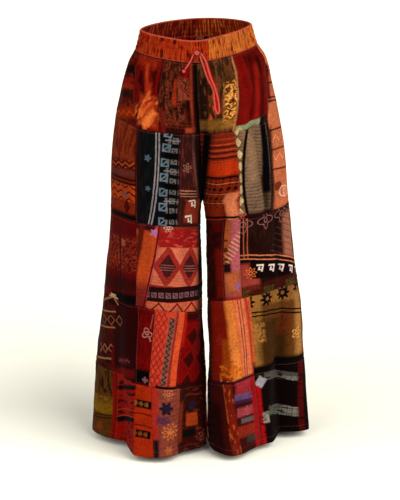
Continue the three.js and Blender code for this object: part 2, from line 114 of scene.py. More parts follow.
def mesh_piece(name, points, faces):
    """A mesh object at the origin from points in metres and faces that look outwards."""
    mesh = bpy.data.meshes.new(name)
    mesh.from_pydata([tuple(p) for p in points], [], [tuple(f) for f in faces])
    mesh.polygons.foreach_set("use_smooth", [True] * len(mesh.polygons))
    mesh.update()
    piece = bpy.data.objects.new(name, mesh)
    scene.collection.objects.link(piece)
    return piece


def twisted_cord(name, route, radius=CORD_RADIUS, around=18):
    """A closed tube whose three strands wind round its line. Its UV map is the turn and the length."""
    line = rounded_route(route, CORD_STEP)
    along = np.gradient(line, axis=0)
    along /= np.linalg.norm(along, axis=1)[:, None]
    side = np.cross(along[0], (0, 1, 0))
    points = []
    for i, (place, ahead) in enumerate(zip(line, along)):
        side = side - ahead * np.dot(side, ahead)
        side /= np.linalg.norm(side)
        up = np.cross(ahead, side)
        turns = np.arange(around) / around * 2 * math.pi
        wound = turns - i * CORD_STEP / CORD_TWIST * 2 * math.pi
        thick = radius * (0.80 + 0.20 * np.abs(np.cos(1.5 * wound)) ** 0.7)
        ends = min(i, len(line) - 1 - i) * CORD_STEP / radius
        thick = thick * math.sqrt(min(1.0, 0.15 + ends * 0.85))
        sideways = (np.cos(turns) * thick)[:, None] * side
        upwards = (np.sin(turns) * thick)[:, None] * up
        points += list(place + sideways + upwards)
    rows = len(line)
    faces = []
    for i in range(rows - 1):
        for k in range(around):
            after = (k + 1) % around
            here = i * around
            faces.append((here + k, here + after, here + around + after, here + around + k))
    faces.append(tuple(reversed(range(around))))
    faces.append(tuple((rows - 1) * around + k for k in range(around)))
    piece = mesh_piece(name, points, faces)
    chart = piece.data.uv_layers.new(name="cord")
    for face in piece.data.polygons:
        for loop, corner in zip(face.loop_indices, face.vertices):
            row, k = divmod(corner, around)
            chart.data[loop].uv = (k / around, row * CORD_STEP * 1000)
    return piece, line


def cord_knot(name, node, coils):
    """A small round knot: a cord wound over itself inside the box of its CAD node."""
    low, high = (Vector(c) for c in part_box(node))
    middle = (low + high) / 2
    half = (high - low) / 2 - Vector((1, 1, 1)) * CORD_RADIUS * 0.8
    route = []
    for i in range(coils * 16 + 1):
        turn = i / 16 * 2 * math.pi
        lean = math.sin(turn * 0.5 + 0.4) * 0.55
        route.append((
            middle.x + half.x * math.cos(turn) * (0.75 + 0.15 * math.sin(turn * 0.37)),
            middle.y + half.y * math.sin(turn + 0.6) * 0.8,
            middle.z + half.z * (math.sin(turn) * 0.75 + lean * 0.35),
        ))
    return twisted_cord(name, route, CORD_RADIUS * 0.92, around=12)[0]


def yarn(name, grain, dark, light, roughness):
    """A matt cotton yarn, finely mottled in two tones, with its shader and its mottling."""
    finish = bpy.data.materials.new(name)
    finish.use_nodes = True
    tree = finish.node_tree
    shader = tree.nodes["Principled BSDF"]
    shader.inputs["Roughness"].default_value = roughness
    place = tree.nodes.new("ShaderNodeTexCoord")
    fuzz = tree.nodes.new("ShaderNodeTexNoise")
    fuzz.inputs["Scale"].default_value = grain
    tint = tree.nodes.new("ShaderNodeMix")
    tint.data_type = "RGBA"
    tint.inputs["A"].default_value = dark
    tint.inputs["B"].default_value = light
    tree.links.new(place.outputs["Object"], fuzz.inputs["Vector"])
    tree.links.new(fuzz.outputs["Fac"], tint.inputs["Factor"])
    tree.links.new(tint.outputs["Result"], shader.inputs["Base Color"])
    return finish, shader, fuzz


short_end, short_line = twisted_cord("cord_short_end", SHORT_END_ROUTE)
long_loop, loop_line = twisted_cord("cord_long_loop", LONG_LOOP_ROUTE)
bow_knot = cord_knot("cord_knot", "drawstring_knot", 3)
end_knot = cord_knot("cord_end_knot", "drawstring_end_knot", 2)

cord_finish, cord_shader, cord_fuzz = yarn(
    "cord_cotton", 900.0, (0.20, 0.012, 0.008, 1), (0.52, 0.060, 0.030, 1), 0.85
)
cord_shader.inputs["Sheen Weight"].default_value = 0.08
cord_bump = cord_finish.node_tree.nodes.new("ShaderNodeBump")
cord_bump.inputs["Distance"].default_value = 0.0004
cord_bump.inputs["Strength"].default_value = 0.6
cord_finish.node_tree.links.new(cord_fuzz.outputs["Fac"], cord_bump.inputs["Height"])
cord_finish.node_tree.links.new(cord_bump.outputs["Normal"], cord_shader.inputs["Normal"])

for piece, node in (
    (short_end, "drawstring_short_end"),
    (long_loop, "drawstring_long_loop"),
    (bow_knot, "drawstring_knot"),
    (end_knot, "drawstring_end_knot"),
):
    piece.data.materials.append(cord_finish)
    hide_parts(node)
    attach(piece, "root")


# Cloth: light printed cotton, sewn in bands round both legs. This is the hang of the whole garment,
# in millimetres: its outline at each level, the steps and flutes of its big folds, and its creases.
BAND_TOP = 24
CROTCH = -388
WAIST_DIP = 22
WAIST_TILT = math.tan(math.radians(2.2))
HEM_RISE = 4
OUTLINE_COLUMNS = ("z", "left", "right", "front", "back", "parted", "middle", "shear")
OUTLINE = [
    (24, 129, 129, 87, 93, 0, 0, 0),
    (-24, 142, 143, 96, 106, 0.02, 0, 0),
    (-60, 158, 162, 106, 118, 0.12, 1, 0),
    (-110, 176, 178, 114, 128, 0.3, 3, 0),
    (-170, 189, 190, 118, 133, 0.46, 6, 0),
    (-240, 198, 200, 120, 132, 0.64, 9, 0.02),
    (-320, 205, 209, 121, 128, 0.84, 11, 0.04),
    (-388, 208, 216, 122, 126, 1, 12, 0.06),
    (-480, 213, 223, 124, 128, 1, 12.5, 0.09),
    (-560, 223, 234, 127, 132, 1, 13.5, 0.13),
    (-650, 234, 246, 131, 138, 1, 15.5, 0.18),
    (-800, 254, 259, 137, 148, 1, 18, 0.25),
    (-998, 273, 273, 142, 160, 1, 20, 0.32),
]
LEG_GAP = [(-388, 0.3), (-403, 9), (-450, 14), (-750, 13), (-860, 4), (-998, 2)]
# Steps: top angle, hem angle, spread, reach, level it starts at, depth
STEPS = {
    "left": [(122, 108, 11, 82, -560, 80)],
    "right": [(80, 80, 58, 100, -330, 106), (104, 109, 9, 62, -420, 66)],
}
# Flutes: top angle, hem angle, width, depth, from level, to level
FLUTES = {
    "left": [
        (30, 40, 26, -34, -640, -1400),
        (60, 72, 14, 8, -380, -1100),
        (240, 232, 16, 26, -420, -1400),
        (262, 262, 12, -16, -300, -1400),
        (285, 292, 16, 22, -420, -1400),
    ],
    "right": [
        (122, 104, 6, -13, -40, -560),
        (232, 228, 16, 24, -420, -1400),
        (256, 258, 12, -18, -260, -1400),
        (282, 288, 17, 28, -380, -1400),
    ],
}
# The levels of the seams round each leg, at the side line and at the centre line or inseam
SEAM_LEVELS = {
    "left": [(-24, -24), (-176, -198), (-408, -455), (-614, -660), (-806, -845), (-996, -996)],
    "right": [(-24, -24), (-182, -196), (-394, -442), (-592, -636), (-799, -836), (-996, -996)],
}


def smooth(share):
    held = np.clip(share, 0, 1)
    return held * held * (3 - 2 * held)


def between(levels, values, z):
    """A table's column at a level between its rows, as a curve that never overshoots."""
    row = 0
    while row < len(levels) - 2 and z < levels[row + 1]:
        row += 1
    before = max(row - 1, 0)
    after = min(row + 2, len(levels) - 1)
    span = levels[row + 1] - levels[row]
    share = min(1.0, max(0.0, (z - levels[row]) / span))
    slope = (values[row + 1] - values[row]) / span
    slope_before = slope
    if before != row:
        slope_before = (values[row] - values[before]) / (levels[row] - levels[before])
    slope_after = slope
    if after != row + 1:
        slope_after = (values[after] - values[row + 1]) / (levels[after] - levels[row + 1])
    start = 2 * slope_before * slope / (slope_before + slope) if slope_before * slope > 0 else 0.0
    end = 2 * slope_after * slope / (slope_after + slope) if slope_after * slope > 0 else 0.0
    return (
        (2 * share ** 3 - 3 * share ** 2 + 1) * values[row]
        + (share ** 3 - 2 * share ** 2 + share) * start * span
        + (3 * share ** 2 - 2 * share ** 3) * values[row + 1]
        + (share ** 3 - share ** 2) * end * span
    )


def outline_value(column, z):
    k = OUTLINE_COLUMNS.index(column)
    return between([row[0] for row in OUTLINE], [row[k] for row in OUTLINE], z)


LEVEL_STEP = 3.0
LEVELS = np.arange(27.0, -1005.0, -LEVEL_STEP)
SHARES = np.linspace(-1, 1, 401)


def leg_form(leg):
    """One leg's half of the garment as a grid of levels by shares of the way round, from the centre
    back at -1 over the side line at 0 to the centre front at 1."""
    way = -1 if leg == "left" else 1
    half = 120
    index = np.arange(2 * half + 1)
    rows = []
    for z in LEVELS:
        middle = outline_value("middle", z)
        parted = outline_value("parted", z)
        reach = outline_value(leg, z) - way * middle
        gap = between([row[0] for row in LEG_GAP], [row[1] for row in LEG_GAP], z)
        clear = 0.0 if z > CROTCH else gap / 2
        half_width = (reach - clear) / 2 if parted >= 0.9999 else reach / (1 + parted)
        centre = reach - half_width
        start = math.acos(min(1.0, max(-1.0, (centre - clear) / half_width)))
        turn = np.where(
            index <= half,
            start + (math.pi - start) * index / half,
            math.pi + (math.pi - start) * (index - half) / half,
        )
        depth = np.where(index <= half, outline_value("front", z), outline_value("back", z))
        x = centre - half_width * np.cos(turn)
        y = -depth * np.sin(turn) + outline_value("shear", z) * (x - centre)
        out = np.stack([-np.cos(turn) / half_width, -np.sin(turn) / depth])
        out /= np.linalg.norm(out, axis=0)
        angle = np.degrees(turn)
        shift_x = np.zeros_like(x)
        shift_y = np.zeros_like(x)
        for top, hem, spread, run_out, start_level, deep in STEPS[leg]:
            grown = smooth((start_level - z) / (start_level + 1050))
            place = top + (hem - top) * grown
            fade = np.maximum(0, 1 - np.maximum(0, angle - place) / run_out)
            shift_y += deep * grown * smooth((angle - place) / spread + 0.5) * fade
        for top, hem, width, deep, start_level, end_level in FLUTES[leg]:
            along = min(1.0, max(0.0, (start_level - z) / (start_level + 998)))
            place = top + (hem - top) * along
            grown = smooth((start_level - z) / 260) * smooth((z - end_level) / 260)
            swell = deep * grown * np.exp(-(((angle - place) / width) ** 2))
            shift_x += swell * out[0]
            shift_y += swell * out[1]
        weights = np.array([1, 2, 3, 2, 1]) / 9
        shift_x = np.convolve(np.pad(shift_x, 2, mode="edge"), weights, mode="valid")
        shift_y = np.convolve(np.pad(shift_y, 2, mode="edge"), weights, mode="valid")
        x = way * np.maximum(clear, x + shift_x) + middle
        y = y + shift_y
        run = np.concatenate([[0], np.cumsum(np.hypot(np.diff(x), np.diff(y)))])
        front = run[half]
        back = run[-1] - front
        goals = np.where(SHARES >= 0, front * (1 - SHARES), front - SHARES * back)
        spread = [np.interp(goals, run, line) for line in (x, y, angle)]
        rows.append((*spread, front, back))
    x = np.array([row[0] for row in rows])
    y = np.array([row[1] for row in rows])
    angle = np.array([row[2] for row in rows])
    z = LEVELS[:, None]
    waist = 1 - smooth((BAND_TOP - z) / 560)
    dip = np.where(y < 0, np.maximum(-27, -WAIST_DIP * (y / 100) ** 2), 8 * (y / 100) ** 2)
    pull = np.where(y < 0, -5 * smooth(1 - np.abs(x) / 75), 0) * (1 - smooth((BAND_TOP - z) / 200))
    outside = smooth((angle - 98) / 30) * smooth((355 - angle) / 90)
    hem = HEM_RISE * smooth((-560 - z) / 438) * outside
    places = np.stack([x, y, z + waist * (dip + x * WAIST_TILT) + pull + hem], axis=2)
    facing = np.cross(np.gradient(places, axis=1), np.gradient(places, axis=0)) * way
    facing /= np.linalg.norm(facing, axis=2)[:, :, None]
    return {
        "way": way,
        "places": places,
        "facing": facing,
        "front": np.array([row[3] for row in rows]),
        "back": np.array([row[4] for row in rows]),
    }


LEGS = {leg: leg_form(leg) for leg in ("left", "right")}
CENTRES = np.array([outline_value("middle", z) for z in LEVELS])


def arc(leg, half, level):
    """The cloth from the side line to the centre line, in front or at the back, at a level."""
    return np.interp(-np.asarray(level, float), -LEVELS, LEGS[leg][half])


def on_cloth(leg, share, level):
    """The place on the smooth cloth at a share of the way round, and the way that it faces."""
    form = LEGS[leg]
    row = np.clip((LEVELS[0] - level) / LEVEL_STEP, 0, len(LEVELS) - 1.001)
    column = np.clip((share + 1) / 2 * (len(SHARES) - 1), 0, len(SHARES) - 1.001)
    r = row.astype(int)
    c = column.astype(int)
    fr = (row - r)[..., None]
    fc = (column - c)[..., None]
    found = []
    for grid in (form["places"], form["facing"]):
        upper = grid[r, c] * (1 - fc) + grid[r, c + 1] * fc
        lower = grid[r + 1, c] * (1 - fc) + grid[r + 1, c + 1] * fc
        found.append(upper * (1 - fr) + lower * fr)
    found[1] /= np.linalg.norm(found[1], axis=-1)[..., None]
    return found


# Creases: share of the way round at the top and the bottom, from level, to level, width, height
CREASES = {
    "left": [
        (0.97, 0.95, -30, -330, 9, -5.0),
        (0.80, 0.66, -60, -560, 26, 5.0),
        (0.60, 0.50, -90, -700, 30, 5.0),
        (0.70, 0.60, -120, -640, 16, -4.5),
        (0.40, 0.34, -150, -900, 34, 5.0),
        (0.48, 0.42, -200, -880, 14, -4.0),
        (0.16, 0.14, -120, -960, 34, 4.0),
        (0.84, 0.80, -300, -980, 22, 5.0),
        (-0.20, -0.24, -90, -900, 30, 5.0),
        (-0.34, -0.36, -120, -980, 18, -5.0),
        (-0.52, -0.50, -60, -760, 30, 6.0),
        (-0.74, -0.70, -140, -980, 26, 6.0),
        (-0.88, -0.90, -60, -420, 12, -5.0),
    ],
    "right": [
        (0.97, 0.95, -30, -330, 9, -5.0),
        (0.80, 0.78, -80, -620, 24, 5.0),
        (0.62, 0.60, -40, -500, 26, 6.0),
        (0.70, 0.68, -100, -520, 12, -4.0),
        (0.42, 0.36, -150, -900, 30, 5.0),
        (0.30, 0.26, -200, -880, 14, -4.0),
        (0.14, 0.12, -120, -960, 34, 4.0),
        (0.86, 0.82, -300, -980, 22, 5.0),
        (-0.18, -0.20, -90, -900, 30, 5.0),
        (-0.36, -0.34, -120, -980, 18, -5.0),
        (-0.56, -0.52, -60, -760, 30, 6.0),
        (-0.72, -0.74, -140, -980, 26, 6.0),
        (-0.88, -0.90, -60, -420, 12, -5.0),
    ],
}
# Gathers under the waistband: share of the way round, height, width and the length they run down
GATHERS = {
    "left": [
        (0.95, 6.0, 7, 150), (0.87, 3.6, 5, 80), (0.80, 5.4, 7, 130), (0.72, 3.2, 5, 70),
        (0.65, 6.2, 8, 160), (0.56, 3.4, 5, 75), (0.49, 5.0, 6, 120), (0.41, 3.0, 5, 60),
        (0.33, 5.6, 7, 140), (0.24, 3.6, 6, 80), (0.15, 5.0, 7, 120), (0.05, 3.6, 6, 90),
        (-0.06, 5.2, 7, 130), (-0.15, 3.4, 5, 70), (-0.23, 5.6, 7, 140), (-0.32, 3.2, 6, 80),
        (-0.40, 5.2, 6, 110), (-0.48, 3.6, 5, 70), (-0.57, 6.0, 8, 150), (-0.66, 3.4, 5, 80),
        (-0.74, 5.4, 7, 130), (-0.82, 3.6, 5, 70), (-0.90, 5.6, 7, 120), (-0.97, 3.0, 5, 80),
    ],
    "right": [
        (0.95, 5.6, 7, 140), (0.87, 3.4, 5, 80), (0.79, 5.8, 7, 140), (0.71, 3.4, 5, 75),
        (0.63, 5.4, 7, 120), (0.55, 3.6, 6, 80), (0.46, 6.4, 8, 170), (0.38, 3.2, 5, 70),
        (0.30, 5.0, 6, 110), (0.22, 3.8, 6, 90), (0.13, 5.6, 7, 140), (0.04, 3.4, 6, 80),
        (-0.05, 5.0, 7, 120), (-0.14, 3.6, 5, 80), (-0.22, 5.8, 8, 150), (-0.31, 3.2, 5, 70),
        (-0.39, 5.4, 7, 120), (-0.48, 3.6, 6, 90), (-0.56, 5.2, 7, 120), (-0.65, 3.8, 6, 80),
        (-0.73, 6.0, 7, 150), (-0.81, 3.4, 5, 70), (-0.89, 5.2, 7, 130), (-0.97, 3.2, 5, 80),
    ],
}
# How many times higher than in these tables the creases and the gathers stand
CREASE_RISE = 1.4
GATHER_RISE = 1.8


def waves(a, b, seed, pitch):
    """A soft uneven swell between -1 and 1 over two directions in millimetres."""
    chance = np.random.default_rng(seed)
    total = 0
    for _ in range(7):
        turn = chance.uniform(0, 2 * math.pi)
        length = pitch * chance.uniform(0.7, 1.6)
        run = (a * math.cos(turn) + b * math.sin(turn)) / length
        total = total + np.sin(run * 2 * math.pi + chance.uniform(0, 6.3))
    return total / 3.2


def relief(leg, share, level):
    """How far the creases, the gathers and the soft waves of the cloth stand out from its hang."""
    around = np.where(share >= 0, arc(leg, "front", level), arc(leg, "back", level))
    raised = np.zeros_like(share)
    for top, bottom, start, end, width, height in CREASES[leg]:
        along = np.clip((start - level) / (start - end), 0, 1)
        place = top + (bottom - top) * along + 0.012 * np.sin(level / 61 + top * 9)
        miss = (share - place) * around / width
        grown = smooth((start - level) / 110) * smooth((level - end) / 150)
        raised += CREASE_RISE * height * grown * np.exp(-miss ** 2)
    down = -24 - level
    for place, height, width, length in GATHERS[leg]:
        sway = place + 0.006 * np.sin(level / 17 + place * 40)
        miss = (share - sway) * around / (width * (0.5 + 0.5 * np.clip(down / 120, 0, 1)))
        grown = (0.3 + 0.7 * smooth(down / 30)) * smooth(1 - down / length)
        raised += GATHER_RISE * height * grown * np.exp(-miss ** 2)
    raised -= 3.0 * (0.3 + 0.7 * smooth(down / 30)) * smooth(1 - down / 140)
    across = share * around
    calm = smooth((-30 - level) / 120)
    raised += 1.5 * calm * waves(across, level * 0.45, 11 if leg == "left" else 12, 95)
    raised += 0.45 * calm * waves(across, level * 0.6, 21 if leg == "left" else 22, 34)
    # Folds are held lower close to the centre line, and may stand higher away from the waist.
    most = np.where(np.abs(share) < 0.86, 6.5, 3.4)
    most = most + (8.5 - most) * smooth((-150 - level) / 120)
    return most * np.tanh(raised / most)


# Sewing and printing. A patch is a closed thin cloth that follows the hang above; its edges are given in
# millimetres of cloth from the side line, towards the front when positive, one for each seam round the
# leg that it meets. EDGE stands for the centre line or the inseam. A table's row is a patch, its outer
# and inner edges, its ground colour and its printed layers; a layer is a motif, an ink, its place
# (across, down, half width, half height in millimetres, turn in degrees) and the motif's own sizes.
EDGE = 999
# In millimetres: how thick the cloth is, and the cells of its mesh, which are finer in band 1
CLOTH = 1.4
CELL = 3.4
WAIST_CELL = 2.6
# The share of near black painted as shade in the deepest hollow between two folds, and the cotton's
# sheen
HOLLOW_SHADE = 0.72
SHEEN = 0.008


def edge_at(edges, down):
    row = np.minimum(len(edges) - 2, np.floor(down).astype(int))
    edges = np.array(edges, float)
    return edges[row] + (edges[row + 1] - edges[row]) * (down - row)


def patch_grid(name, outer, inner):
    """The places of a patch's cloth in rows from its top seam down, with its chart: millimetres
    across from its middle and down from its top."""
    leg, half, place = name.split("_")
    seam = int(place[0]) - 1
    bands = len(outer) - 1
    levels = np.array(SEAM_LEVELS[leg], float)
    height = levels[seam].mean() - levels[seam + bands].mean()
    rows = int(round(height / CELL))
    down = np.linspace(0, bands, rows + 1)
    middle = np.interp(seam + down, range(len(levels)), levels[:, 1])
    side = np.interp(seam + down, range(len(levels)), levels[:, 0])
    front = arc(leg, "front", middle)
    back = arc(leg, "back", middle)
    start = np.maximum(-back, edge_at(outer, down))
    end = np.minimum(front, edge_at(inner, down))
    widest = (end - start).max()
    columns = int(round(widest / (CELL if seam else WAIST_CELL)))
    t = np.linspace(0, 1, columns + 1)[None, :]
    from_side = start[:, None] + (end - start)[:, None] * t
    towards = np.where(from_side > 0, from_side / front[:, None], -from_side / back[:, None])
    towards = np.clip(towards, 0, 1) ** 2
    level = side[:, None] + (middle - side)[:, None] * towards
    front_here = arc(leg, "front", level)
    back_here = arc(leg, "back", level)
    held = np.clip(from_side, -back_here, front_here)
    share = np.where(held > 0, held / front_here, held / back_here)
    places, facing = on_cloth(leg, share, level)
    width = end - start
    way = LEGS[leg]["way"]
    viewed = -way if half == "front" else way
    # In band 1 the chart keeps the width of the lower seam, so the gathers draw the print together.
    cut = width[-1] if seam == 0 else width[:, None]
    across = (t - 0.5) * cut * viewed
    steps = np.linalg.norm(np.diff(places.mean(axis=1), axis=0), axis=1)
    lengths = np.concatenate([[0], np.cumsum(steps)])
    chart = np.stack([across + 0 * level, -(lengths[:, None] + 0 * level)], axis=2)
    return {
        "leg": leg, "share": share, "level": level, "places": places, "facing": facing,
        "chart": chart, "width": width, "lengths": lengths, "hem": place[0] == "5",
    }


def closed_faces(index, count):
    """The faces of a thin cloth: its outer skin, its inner skin and the four edges between them."""
    cells = (index[:-1, :-1], index[1:, :-1], index[1:, 1:], index[:-1, 1:])
    outer = np.stack(cells, axis=2).reshape(-1, 4)
    inner = outer[:, ::-1] + count
    walls = []
    loops = ((index[0, :], True), (index[-1, :], False), (index[:, 0], False), (index[:, -1], True))
    for line, ahead in loops:
        a = line[:-1]
        b = line[1:]
        quad = np.stack([a, b, b + count, a + count], axis=1)
        walls.append(quad if ahead else quad[:, ::-1])
    return np.concatenate([outer, inner] + walls)


def cloth_piece(name, skin, lining, chart, turned_over=False):
    """The mesh of a closed thin cloth between two skins in millimetres, with its chart as UV map."""
    rows, columns = skin.shape[:2]
    count = rows * columns
    faces = closed_faces(np.arange(count).reshape(rows, columns), count)
    if turned_over:
        faces = faces[:, ::-1]
    points = np.concatenate([skin.reshape(-1, 3), lining.reshape(-1, 3)]) * 0.001
    piece = mesh_piece("cloth_" + name, points, faces)
    corners = np.concatenate([chart.reshape(-1, 2)] * 2)
    layer = piece.data.uv_layers.new(name="cloth")
    layer.data.foreach_set("uv", corners[faces.reshape(-1)].reshape(-1).astype(np.float32))
    return piece


def patch_piece(name, outer, inner):
    """One patch as a thin closed cloth, sunk and puckered along its seams, and its grid."""
    grid = patch_grid(name, outer, inner)
    leg = grid["leg"]
    places = grid["places"]
    facing = grid["facing"]
    t = np.linspace(0, 1, places.shape[1])[None, :]
    width = grid["width"][:, None]
    from_edge = np.minimum(t, 1 - t) * width
    from_top = grid["lengths"][:, None] + 0 * t
    from_bottom = grid["lengths"][-1] - from_top
    near = np.minimum(from_edge, from_top)
    near = near if grid["hem"] else np.minimum(near, from_bottom)
    raised = relief(leg, grid["share"], grid["level"])
    sunk = -1.1 * np.exp(-((near / 2.6) ** 2)) + 0.5 * np.exp(-(((near - 7) / 4) ** 2))
    seed = sum(ord(letter) for letter in name)
    pucker = 0.7 * np.exp(-near / 14) * waves(grid["chart"][..., 0], grid["chart"][..., 1], seed, 13)
    raised = raised + sunk + pucker * (1 - np.exp(-((near / 4) ** 2)))
    skin = places + facing * raised[..., None]
    # Above the crotch the two legs meet on the centre line, so the cloth isn't moved across it there.
    centre = np.interp(-grid["level"], -LEVELS, CENTRES)
    above = grid["level"] > CROTCH
    held_in = np.where(above, np.exp(-(((places[..., 0] - centre) / 3) ** 2)), 0)
    skin[..., 0] += (places[..., 0] - skin[..., 0]) * held_in
    joined = above & (np.abs(grid["share"]) > 0.998)
    skin[..., 0] = np.where(joined, centre, skin[..., 0])
    if grid["hem"]:
        fold = 0.5 * smooth((13 - from_bottom) / 1.5)
        skin = skin + facing * fold[..., None]
    inward = np.stack([facing[..., 0] * (1 - held_in), facing[..., 1], facing[..., 2]], axis=2)
    lining = skin - inward * CLOTH
    thread = skin + facing * 0.1
    grid["stitches"] = [thread[1, 1:-1], thread[1:-1, 1]]
    if grid["hem"]:
        grid["stitches"].append(thread[-5, 1:-1])
    piece = cloth_piece(name, skin, lining, grid["chart"], turned_over=leg == "right")
    # Painted shade: the hollows between the folds are darkened by a share of near black, kept on the
    # points.
    painted_hollow_shade = piece.data.attributes.new(name="painted_hollow_shade", type="FLOAT", domain="POINT")
    depth = HOLLOW_SHADE * smooth((-1.2 - raised) / 5)
    painted_hollow_shade.data.foreach_set("value", np.concatenate([depth.reshape(-1)] * 2).astype(np.float32))
    return piece, grid


class Amount:
    """A number in a node tree, so that its Math nodes are written as ordinary arithmetic."""

    def __init__(self, tree, socket):
        self.tree = tree
        self.socket = socket

    def worked(self, operation, *others, clamp=False):
        node = self.tree.nodes.new("ShaderNodeMath")
        node.operation = operation
        node.use_clamp = clamp
        for socket, value in zip(node.inputs, (self,) + others):
            if isinstance(value, Amount):
                self.tree.links.new(value.socket, socket)
            else:
                socket.default_value = value
        return Amount(self.tree, node.outputs[0])

    def __add__(self, other):
        return self.worked("ADD", other)

    def __sub__(self, other):
        return self.worked("SUBTRACT", other)

    def __mul__(self, other):
        return self.worked("MULTIPLY", other)

    def __truediv__(self, other):
        return self.worked("DIVIDE", other)

    def size(self):
        return self.worked("ABSOLUTE")

    def most(self, other):
        return self.worked("MAXIMUM", other)

    def least(self, other):
        return self.worked("MINIMUM", other)

    def repeated(self, pitch):
        """The same again at every pitch, counted from the middle of each repeat."""
        return ((self / pitch + 0.5).worked("FRACT") - 0.5) * pitch

    def mixed(self, scale, seed, other, detail=2.0):
        """Cloudy noise about 0.5 over two numbers, this one and the other."""
        spread = self.tree.nodes.new("ShaderNodeCombineXYZ")
        for socket, value in zip(spread.inputs, (self, other, seed)):
            if isinstance(value, Amount):
                self.tree.links.new(value.socket, socket)
            else:
                socket.default_value = value
        noise = self.tree.nodes.new("ShaderNodeTexNoise")
        noise.inputs["Scale"].default_value = scale
        noise.inputs["Detail"].default_value = detail
        self.tree.links.new(spread.outputs["Vector"], noise.inputs["Vector"])
        return Amount(self.tree, noise.outputs["Fac"])


def inked(distance, soft):
    """1 inside a shape and 0 outside it, from the distance to its edge and the softness there."""
    return (distance / soft).worked("MULTIPLY_ADD", -1.0, 0.5, clamp=True)


def block(x, y, size):
    return y * 0 - 9


def stripes(x, y, size):
    return y.repeated(size["Pitch"]).size() - size["Width"] / 2


def pair(x, y, size):
    return (y.size() - size["Pitch"] / 2).size() - size["Width"] / 2


def zigzag(x, y, size):
    peaks = x.repeated(size["Pitch"]).size() / size["Pitch"] * 2 - 0.5
    return (y + peaks * size["Rise"]).repeated(size["Spacing"]).size() - size["Width"] / 2


def diamonds(x, y, size):
    across = x.repeated(size["Pitch"]).size() / size["Pitch"] * 2
    down = y.repeated(size["Spacing"]).size() / size["Spacing"] * 2
    return ((across + down - size["Ring"]).size() - size["Width"]) * size["Pitch"] / 2


def squares(x, y, size):
    across = x.repeated(size["Pitch"])
    down = y.repeated(size["Spacing"])
    ring = (across.size().most(down.size()) - size["Ring"]).size() - size["Width"] / 2
    slash = ((across + down).size() - size["Width"] * 0.6).most(across.size() - size["Ring"])
    return ring.least(slash)


def petal_edge(x, y, size, notch):
    """The distances to a flower's outline, whose petals are parted by notches, and to its middle."""
    across = x.repeated(size["Pitch"])
    down = y.repeated(size["Spacing"])
    reach = (across * across + down * down).worked("SQRT")
    turn = down.worked("ARCTAN2", across)
    petals = (turn * size["Petals"]).worked("COSINE") * notch + (1 - notch)
    return reach - petals * size["Ring"], reach


def flowers(x, y, size):
    edge, reach = petal_edge(x, y, size, 0.22)
    heart = (reach - size["Ring"] * 0.3).size() - size["Width"] / 2
    return (edge.size() - size["Width"] / 2).least(heart)


def rosettes(x, y, size):
    return petal_edge(x, y, size, 0.2)[0]


def hooks(x, y, size):
    across = x.repeated(size["Pitch"]) / size["Ring"]
    down = y.repeated(size["Spacing"]) / size["Ring"]
    roof = (across.size() - 1).most((down + 0.8).size() - 0.22)
    post = ((across - 0.78).size() - 0.22).most(down.size() - 1)
    tick = ((across + 0.15).size() - 0.2).most((down - 0.1).size() - 0.45)
    foot = ((across - 0.1).size() - 0.4).most((down - 0.45).size() - 0.16)
    return roof.least(post).least(tick).least(foot) * size["Ring"]


def scrolls(x, y, size):
    drift = x.mixed(0.045, size["Seed"], y) * 3.2 + y.mixed(0.02, size["Seed"] + 7, x) * 5
    return drift.repeated(0.5).size() * size["Pitch"] - size["Width"]


def streaks(x, y, size):
    cloud = (x / size["Pitch"]).mixed(1.0, size["Seed"], y / size["Spacing"])
    return (size["Cover"] * -1 + 1 - cloud) * 24


# Each motif gives the distance to its edge, less than 0 inside it. The sizes are the numbers that every
# motif takes, with their usual values: places and lengths in millimetres, turns in degrees.
MOTIFS = (block, stripes, pair, zigzag, diamonds, squares, flowers, rosettes, hooks, scrolls, streaks)
MOTIF_SIZES = {
    "Across": 0.0, "Down": 0.0, "Half width": 400.0, "Half height": 400.0, "Turn": 0.0, "Bow": 0.0,
    "Fade": 1.6, "Soft": 1.6, "Wobble": 0.8, "Strength": 1.0, "Seed": 0.0,
    "Pitch": 60.0, "Spacing": 60.0, "Width": 3.0, "Rise": 8.0, "Ring": 8.0, "Petals": 4.0, "Cover": 0.5,
}


def motif_group(shape):
    """The mask of one printed motif over the chart of a patch, inside a turned and bowed window."""
    group = bpy.data.node_groups.new("print_" + shape.__name__, "ShaderNodeTree")
    group.interface.new_socket(name="Chart", in_out="INPUT", socket_type="NodeSocketVector")
    for name, usual in MOTIF_SIZES.items():
        socket = group.interface.new_socket(name=name, in_out="INPUT", socket_type="NodeSocketFloat")
        socket.default_value = usual
    group.interface.new_socket(name="Mask", in_out="OUTPUT", socket_type="NodeSocketFloat")
    given = group.nodes.new("NodeGroupInput")
    result = group.nodes.new("NodeGroupOutput")
    size = {name: Amount(group, given.outputs[name]) for name in MOTIF_SIZES}
    parts = group.nodes.new("ShaderNodeSeparateXYZ")
    group.links.new(given.outputs["Chart"], parts.inputs["Vector"])
    chart_x = Amount(group, parts.outputs["X"])
    chart_y = Amount(group, parts.outputs["Y"]) * -1
    sway = (chart_x.mixed(0.06, size["Seed"], chart_y) - 0.5) * size["Wobble"] * 3
    across = chart_x - size["Across"] + sway
    heave = (chart_y.mixed(0.06, size["Seed"], chart_x) - 0.5) * size["Wobble"] * 3
    down = chart_y - size["Down"] + heave
    turn = size["Turn"].worked("RADIANS")
    cosine = turn.worked("COSINE")
    sine = turn.worked("SINE")
    x = across * cosine + down * sine
    y = down * cosine - across * sine - x * x * size["Bow"] * 0.0001
    window = (x.size() - size["Half width"]).most(y.size() - size["Half height"])
    mask = inked(shape(x, y, size), size["Soft"]) * inked(window, size["Fade"]) * size["Strength"]
    group.links.new(mask.socket, result.inputs["Mask"])
    return group


MOTIF_GROUPS = {shape.__name__: motif_group(shape) for shape in MOTIFS}


